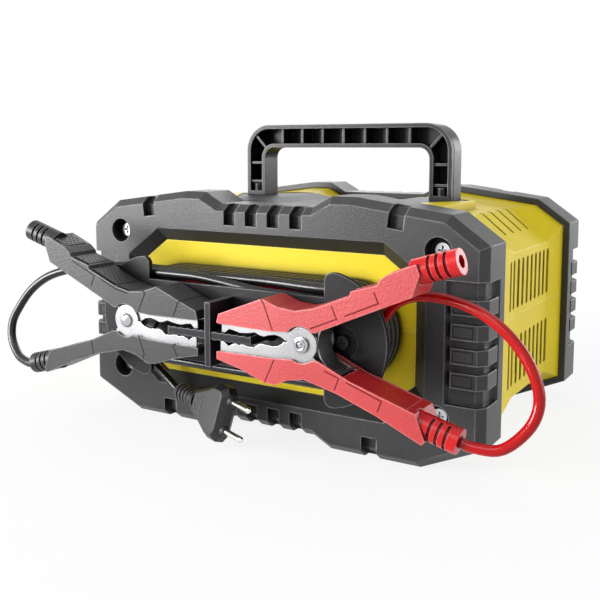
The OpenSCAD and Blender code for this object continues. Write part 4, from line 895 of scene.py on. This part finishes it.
add_panel_seam()
add_rib_frames("cable", 0.0, FRONT)
add_rib_frames("panel", 210.0, REAR)

# ------------------------------------------------------------ control face
FASCIA = 203.0                          # y of the fascia's face
DISPLAY_X, DISPLAY_Z = -34, 92          # the display's middle
BUTTONS_X = [-70 + 24 * i for i in range(4)]
BUTTONS_Z, BUTTON_RING = 52, 8.6        # the buttons' height, and the radius of their rings
LIGHTS_X = [30 + 11 * i for i in range(5)]
BARS_Y = 201.0                          # y of the display's digits and bars
DIGITS = {"1": "bc", "2": "abged", "6": "afgedc"}     # the bars of each digit


def line_on(bm, places, width, proud, y=FASCIA):
    """A band on the control side through places (x, z)."""
    strip(bm, [(x, y, z) for x, z in places], REAR, width, proud)


def add_face_trims():
    """The display's frame, two lines, a ring round each button and a row of slanted bars."""
    width, height, rim, rise = 92, 50, 2, 1.2
    x0, x1 = DISPLAY_X - width / 2, DISPLAY_X + width / 2
    z0, z1 = DISPLAY_Z - height / 2, DISPLAY_Z + height / 2
    bm = bmesh.new()
    for z in (z1 - rim / 2, z0 + rim / 2):
        line_on(bm, [(x0, z), (x1, z)], rim, rise)
    for x in (x0 + rim / 2, x1 - rim / 2):
        line_on(bm, [(x, z0 + rim), (x, z1 - rim)], rim, rise)
    line_on(bm, [(-88, 64.5), (96, 64.5)], width=1.0, proud=0.5)
    line_on(bm, [(22, 66.5), (22, 116)], width=1.0, proud=0.5)
    angles = [math.radians(45 - 11.25 * k) for k in range(33)]
    for x in BUTTONS_X:
        line_on(bm, [(x + BUTTON_RING * math.cos(a), BUTTONS_Z + BUTTON_RING * math.sin(a))
                     for a in angles], width=1.0, proud=0.5)
    for k in range(6):
        line_on(bm, [(30 + 9 * k, 74), (36 + 9 * k, 92)], width=2.2, proud=0.5)
    piece("face_trims", bm, "bumper", "case", bevel=0.2)


def draw_digit(bm, digit, x, z, width=10, height=19):
    """A digit of up to seven bars, read from the control side; x, z is its lower left."""
    middle, gap = height / 2, 0.07
    bars = {"a": ((0, height), (width, height)), "b": ((width, height), (width, middle)),
            "c": ((width, middle), (width, 0)), "d": ((0, 0), (width, 0)),
            "e": ((0, 0), (0, middle)), "f": ((0, middle), (0, height)),
            "g": ((0, middle), (width, middle))}
    for name in DIGITS[digit]:
        (x0, z0), (x1, z1) = bars[name]
        dx, dz = (x1 - x0) * gap, (z1 - z0) * gap
        line_on(bm, [(x - x0 - dx, z + z0 + dz), (x - x1 + dx, z + z1 - dz)], width=1.5,
                proud=0.1, y=BARS_Y)


def add_display_bars():
    """The reading, its point and the five bars under it."""
    bm = bmesh.new()
    for digit, x in (("1", -8), ("2", -25.5), ("6", -47)):
        draw_digit(bm, digit, x, 84.5)
    stud(bm, (-42.6, BARS_Y, 84.6), REAR, radius=1.1, height=0.1, top=0.95, sides=12)
    for i in range(5):
        line_on(bm, [(-9 - 9.5 * i, 78.6), (-16 - 9.5 * i, 78.6)], width=2.6, proud=0.1, y=BARS_Y)
    piece("display_bars", bm, "lit", "case")


def add_display_face():
    """The dark face behind the digits."""
    x0, x1, z0, z1 = -72.8, 4.8, 74.2, 109.8
    bm = bmesh.new()
    prism(bm, [(x0, z0), (x1, z0), (x1, z1), (x0, z1)], 200.3, 200.95)
    piece("display_face", bm, "lcd", "case", bevel=0.2)


def print_line(bm, places, width):
    line_on(bm, places, width, proud=0.06)


def draw_mode_mark(bm, x, z):
    """Three bars."""
    for k in range(3):
        bar = z - 2.4 + 1.6 * k
        print_line(bm, [(x - 2.4, bar), (x + 2.4, bar)], 0.55)


def draw_current_mark(bm, x, z):
    """A flash."""
    print_line(bm, [(x + 1.2, z + 2), (x - 1.0, z - 0.6), (x + 1.0, z - 0.6),
                    (x - 1.2, z - 3.2)], 0.55)


def draw_start_mark(bm, x, z):
    """An open ring with a bar in its gap."""
    angles = [math.radians(40 + 280 * k / 18) for k in range(19)]
    print_line(bm, [(x + 2.0 * math.sin(a), z - 1 + 2.0 * math.cos(a)) for a in angles], 0.5)
    print_line(bm, [(x, z - 0.8), (x, z + 1.8)], 0.5)


def draw_test_mark(bm, x, z):
    """A battery with two poles."""
    print_line(bm, [(x - 2.4, z - 2.6), (x - 2.4, z + 0.8), (x + 2.4, z + 0.8),
                    (x + 2.4, z - 2.6), (x - 2.4, z - 2.6)], 0.5)
    for pole in (-1.2, 1.2):
        print_line(bm, [(x + pole, z + 0.9), (x + pole, z + 1.9)], 0.9)


def add_face_marks():
    """A mark under each button, and a full and a growing line by each light."""
    bm = bmesh.new()
    for x, draw_mark in zip(BUTTONS_X, (draw_mode_mark, draw_current_mark, draw_start_mark,
                                        draw_test_mark)):
        draw_mark(bm, x, BUTTONS_Z - 10)
    for i, x in enumerate(LIGHTS_X):
        print_line(bm, [(x - 2, 98.2), (x + 2, 98.2)], 0.6)
        print_line(bm, [(x - 2, 96.6), (x - 2 + max(0.4, 0.8 * i), 96.6)], 0.6)
    piece("face_marks", bm, "ink", "case")


add_face_trims()
add_display_bars()
add_display_face()
add_face_marks()

# ------------------------------------------------------- floor, world, lamps
FLOOR_HALF = 6
FLOOR_Z = -0.0001     # just under the feet, so that the two faces don't share a plane
LAMPS = (             # name, place, what it aims at, size, power
    ("key", (-0.98, -1.05, 0.32), (-0.05, -0.07, 0.10), (0.75, 0.5), 29),
    ("fill", (-0.25, -1.25, 1.25), (0, -0.05, 0.10), (0.9, 0.9), 9),
    ("right", (1.4, 0.35, 0.50), (0.1, 0.0, 0.08), (0.7, 0.7), 6),
    ("top", (0.1, 0.2, 1.6), (0, 0, 0.1), (1.2, 1.2), 3),
    ("back", (0.66, 1.30, 0.36), (0.1, 0.05, 0.08), (0.6, 0.5), 6),
    ("rear", (-0.7, 1.3, 0.8), (0, 0, 0.1), (0.8, 0.8), 5),
)


def white_where_seen(tree, lit, white, share=None):
    """Camera, glossy and transmission rays see white, or a share of it; the rest sees lit."""
    path = node(tree, "ShaderNodeLightPath").outputs
    seen = math_node(tree, "MAXIMUM", path["Is Camera Ray"],
                     math_node(tree, "MAXIMUM", path["Is Glossy Ray"],
                               path["Is Transmission Ray"]))
    mix = node(tree, "ShaderNodeMixShader")
    tree.links.new(math_node(tree, "MULTIPLY", seen, share) if share else seen, mix.inputs[0])
    tree.links.new(lit.outputs[0], mix.inputs[1])
    tree.links.new(white.outputs[0], mix.inputs[2])
    return mix.outputs[0]


def pale_floor():
    """A pale floor that takes soft shadows near the object and turns to plain white far off."""
    material = bpy.data.materials.new("pale_floor")
    tree, surface = bare_tree(material, "ShaderNodeOutputMaterial")
    lit = node(tree, "ShaderNodeBsdfDiffuse", {"Color": (0.9, 0.9, 0.9, 1)})
    white = node(tree, "ShaderNodeEmission", {"Color": (1, 1, 1, 1), "Strength": 1.0})
    away = node(tree, "ShaderNodeVectorMath", operation="LENGTH")
    tree.links.new(node(tree, "ShaderNodeTexCoord").outputs["Object"], away.inputs[0])
    share = remap(tree, away.outputs["Value"], 0.22, 0.6, 0.85, 1.0)
    tree.links.new(white_where_seen(tree, lit, white, share), surface)
    return material


def add_floor():
    floor = bpy.data.objects.new("floor", bpy.data.meshes.new("floor"))
    corners = [(-1, -1), (1, -1), (1, 1), (-1, 1)]
    floor.data.from_pydata([(x * FLOOR_HALF, y * FLOOR_HALF, FLOOR_Z) for x, y in corners], [],
                           [(0, 1, 2, 3)])
    SCENE.collection.objects.link(floor)
    floor.data.materials.append(pale_floor())


def add_world():
    """A weak, slightly cool light from all round, which looks white."""
    world = bpy.data.worlds.new("studio")
    SCENE.world = world
    tree, surface = bare_tree(world, "ShaderNodeOutputWorld")
    lit = node(tree, "ShaderNodeBackground", {"Color": (0.95, 0.97, 1.0, 1), "Strength": 0.25})
    white = node(tree, "ShaderNodeBackground", {"Color": (1, 1, 1, 1), "Strength": 1.0})
    tree.links.new(white_where_seen(tree, lit, white), surface)


def add_lamp(name, place, aim, size, power):
    light = bpy.data.lights.new(name, "AREA")
    light.shape = "RECTANGLE"
    light.size, light.size_y = size
    light.energy = power
    lamp = bpy.data.objects.new(name, light)
    SCENE.collection.objects.link(lamp)
    lamp.location = place
    lamp.rotation_euler = (Vector(aim) - Vector(place)).to_track_quat("-Z", "Y").to_euler()
    lamp.visible_camera = False


add_floor()
add_world()
SCENE.view_settings.view_transform = "Standard"
for lamp_row in LAMPS:
    add_lamp(*lamp_row)
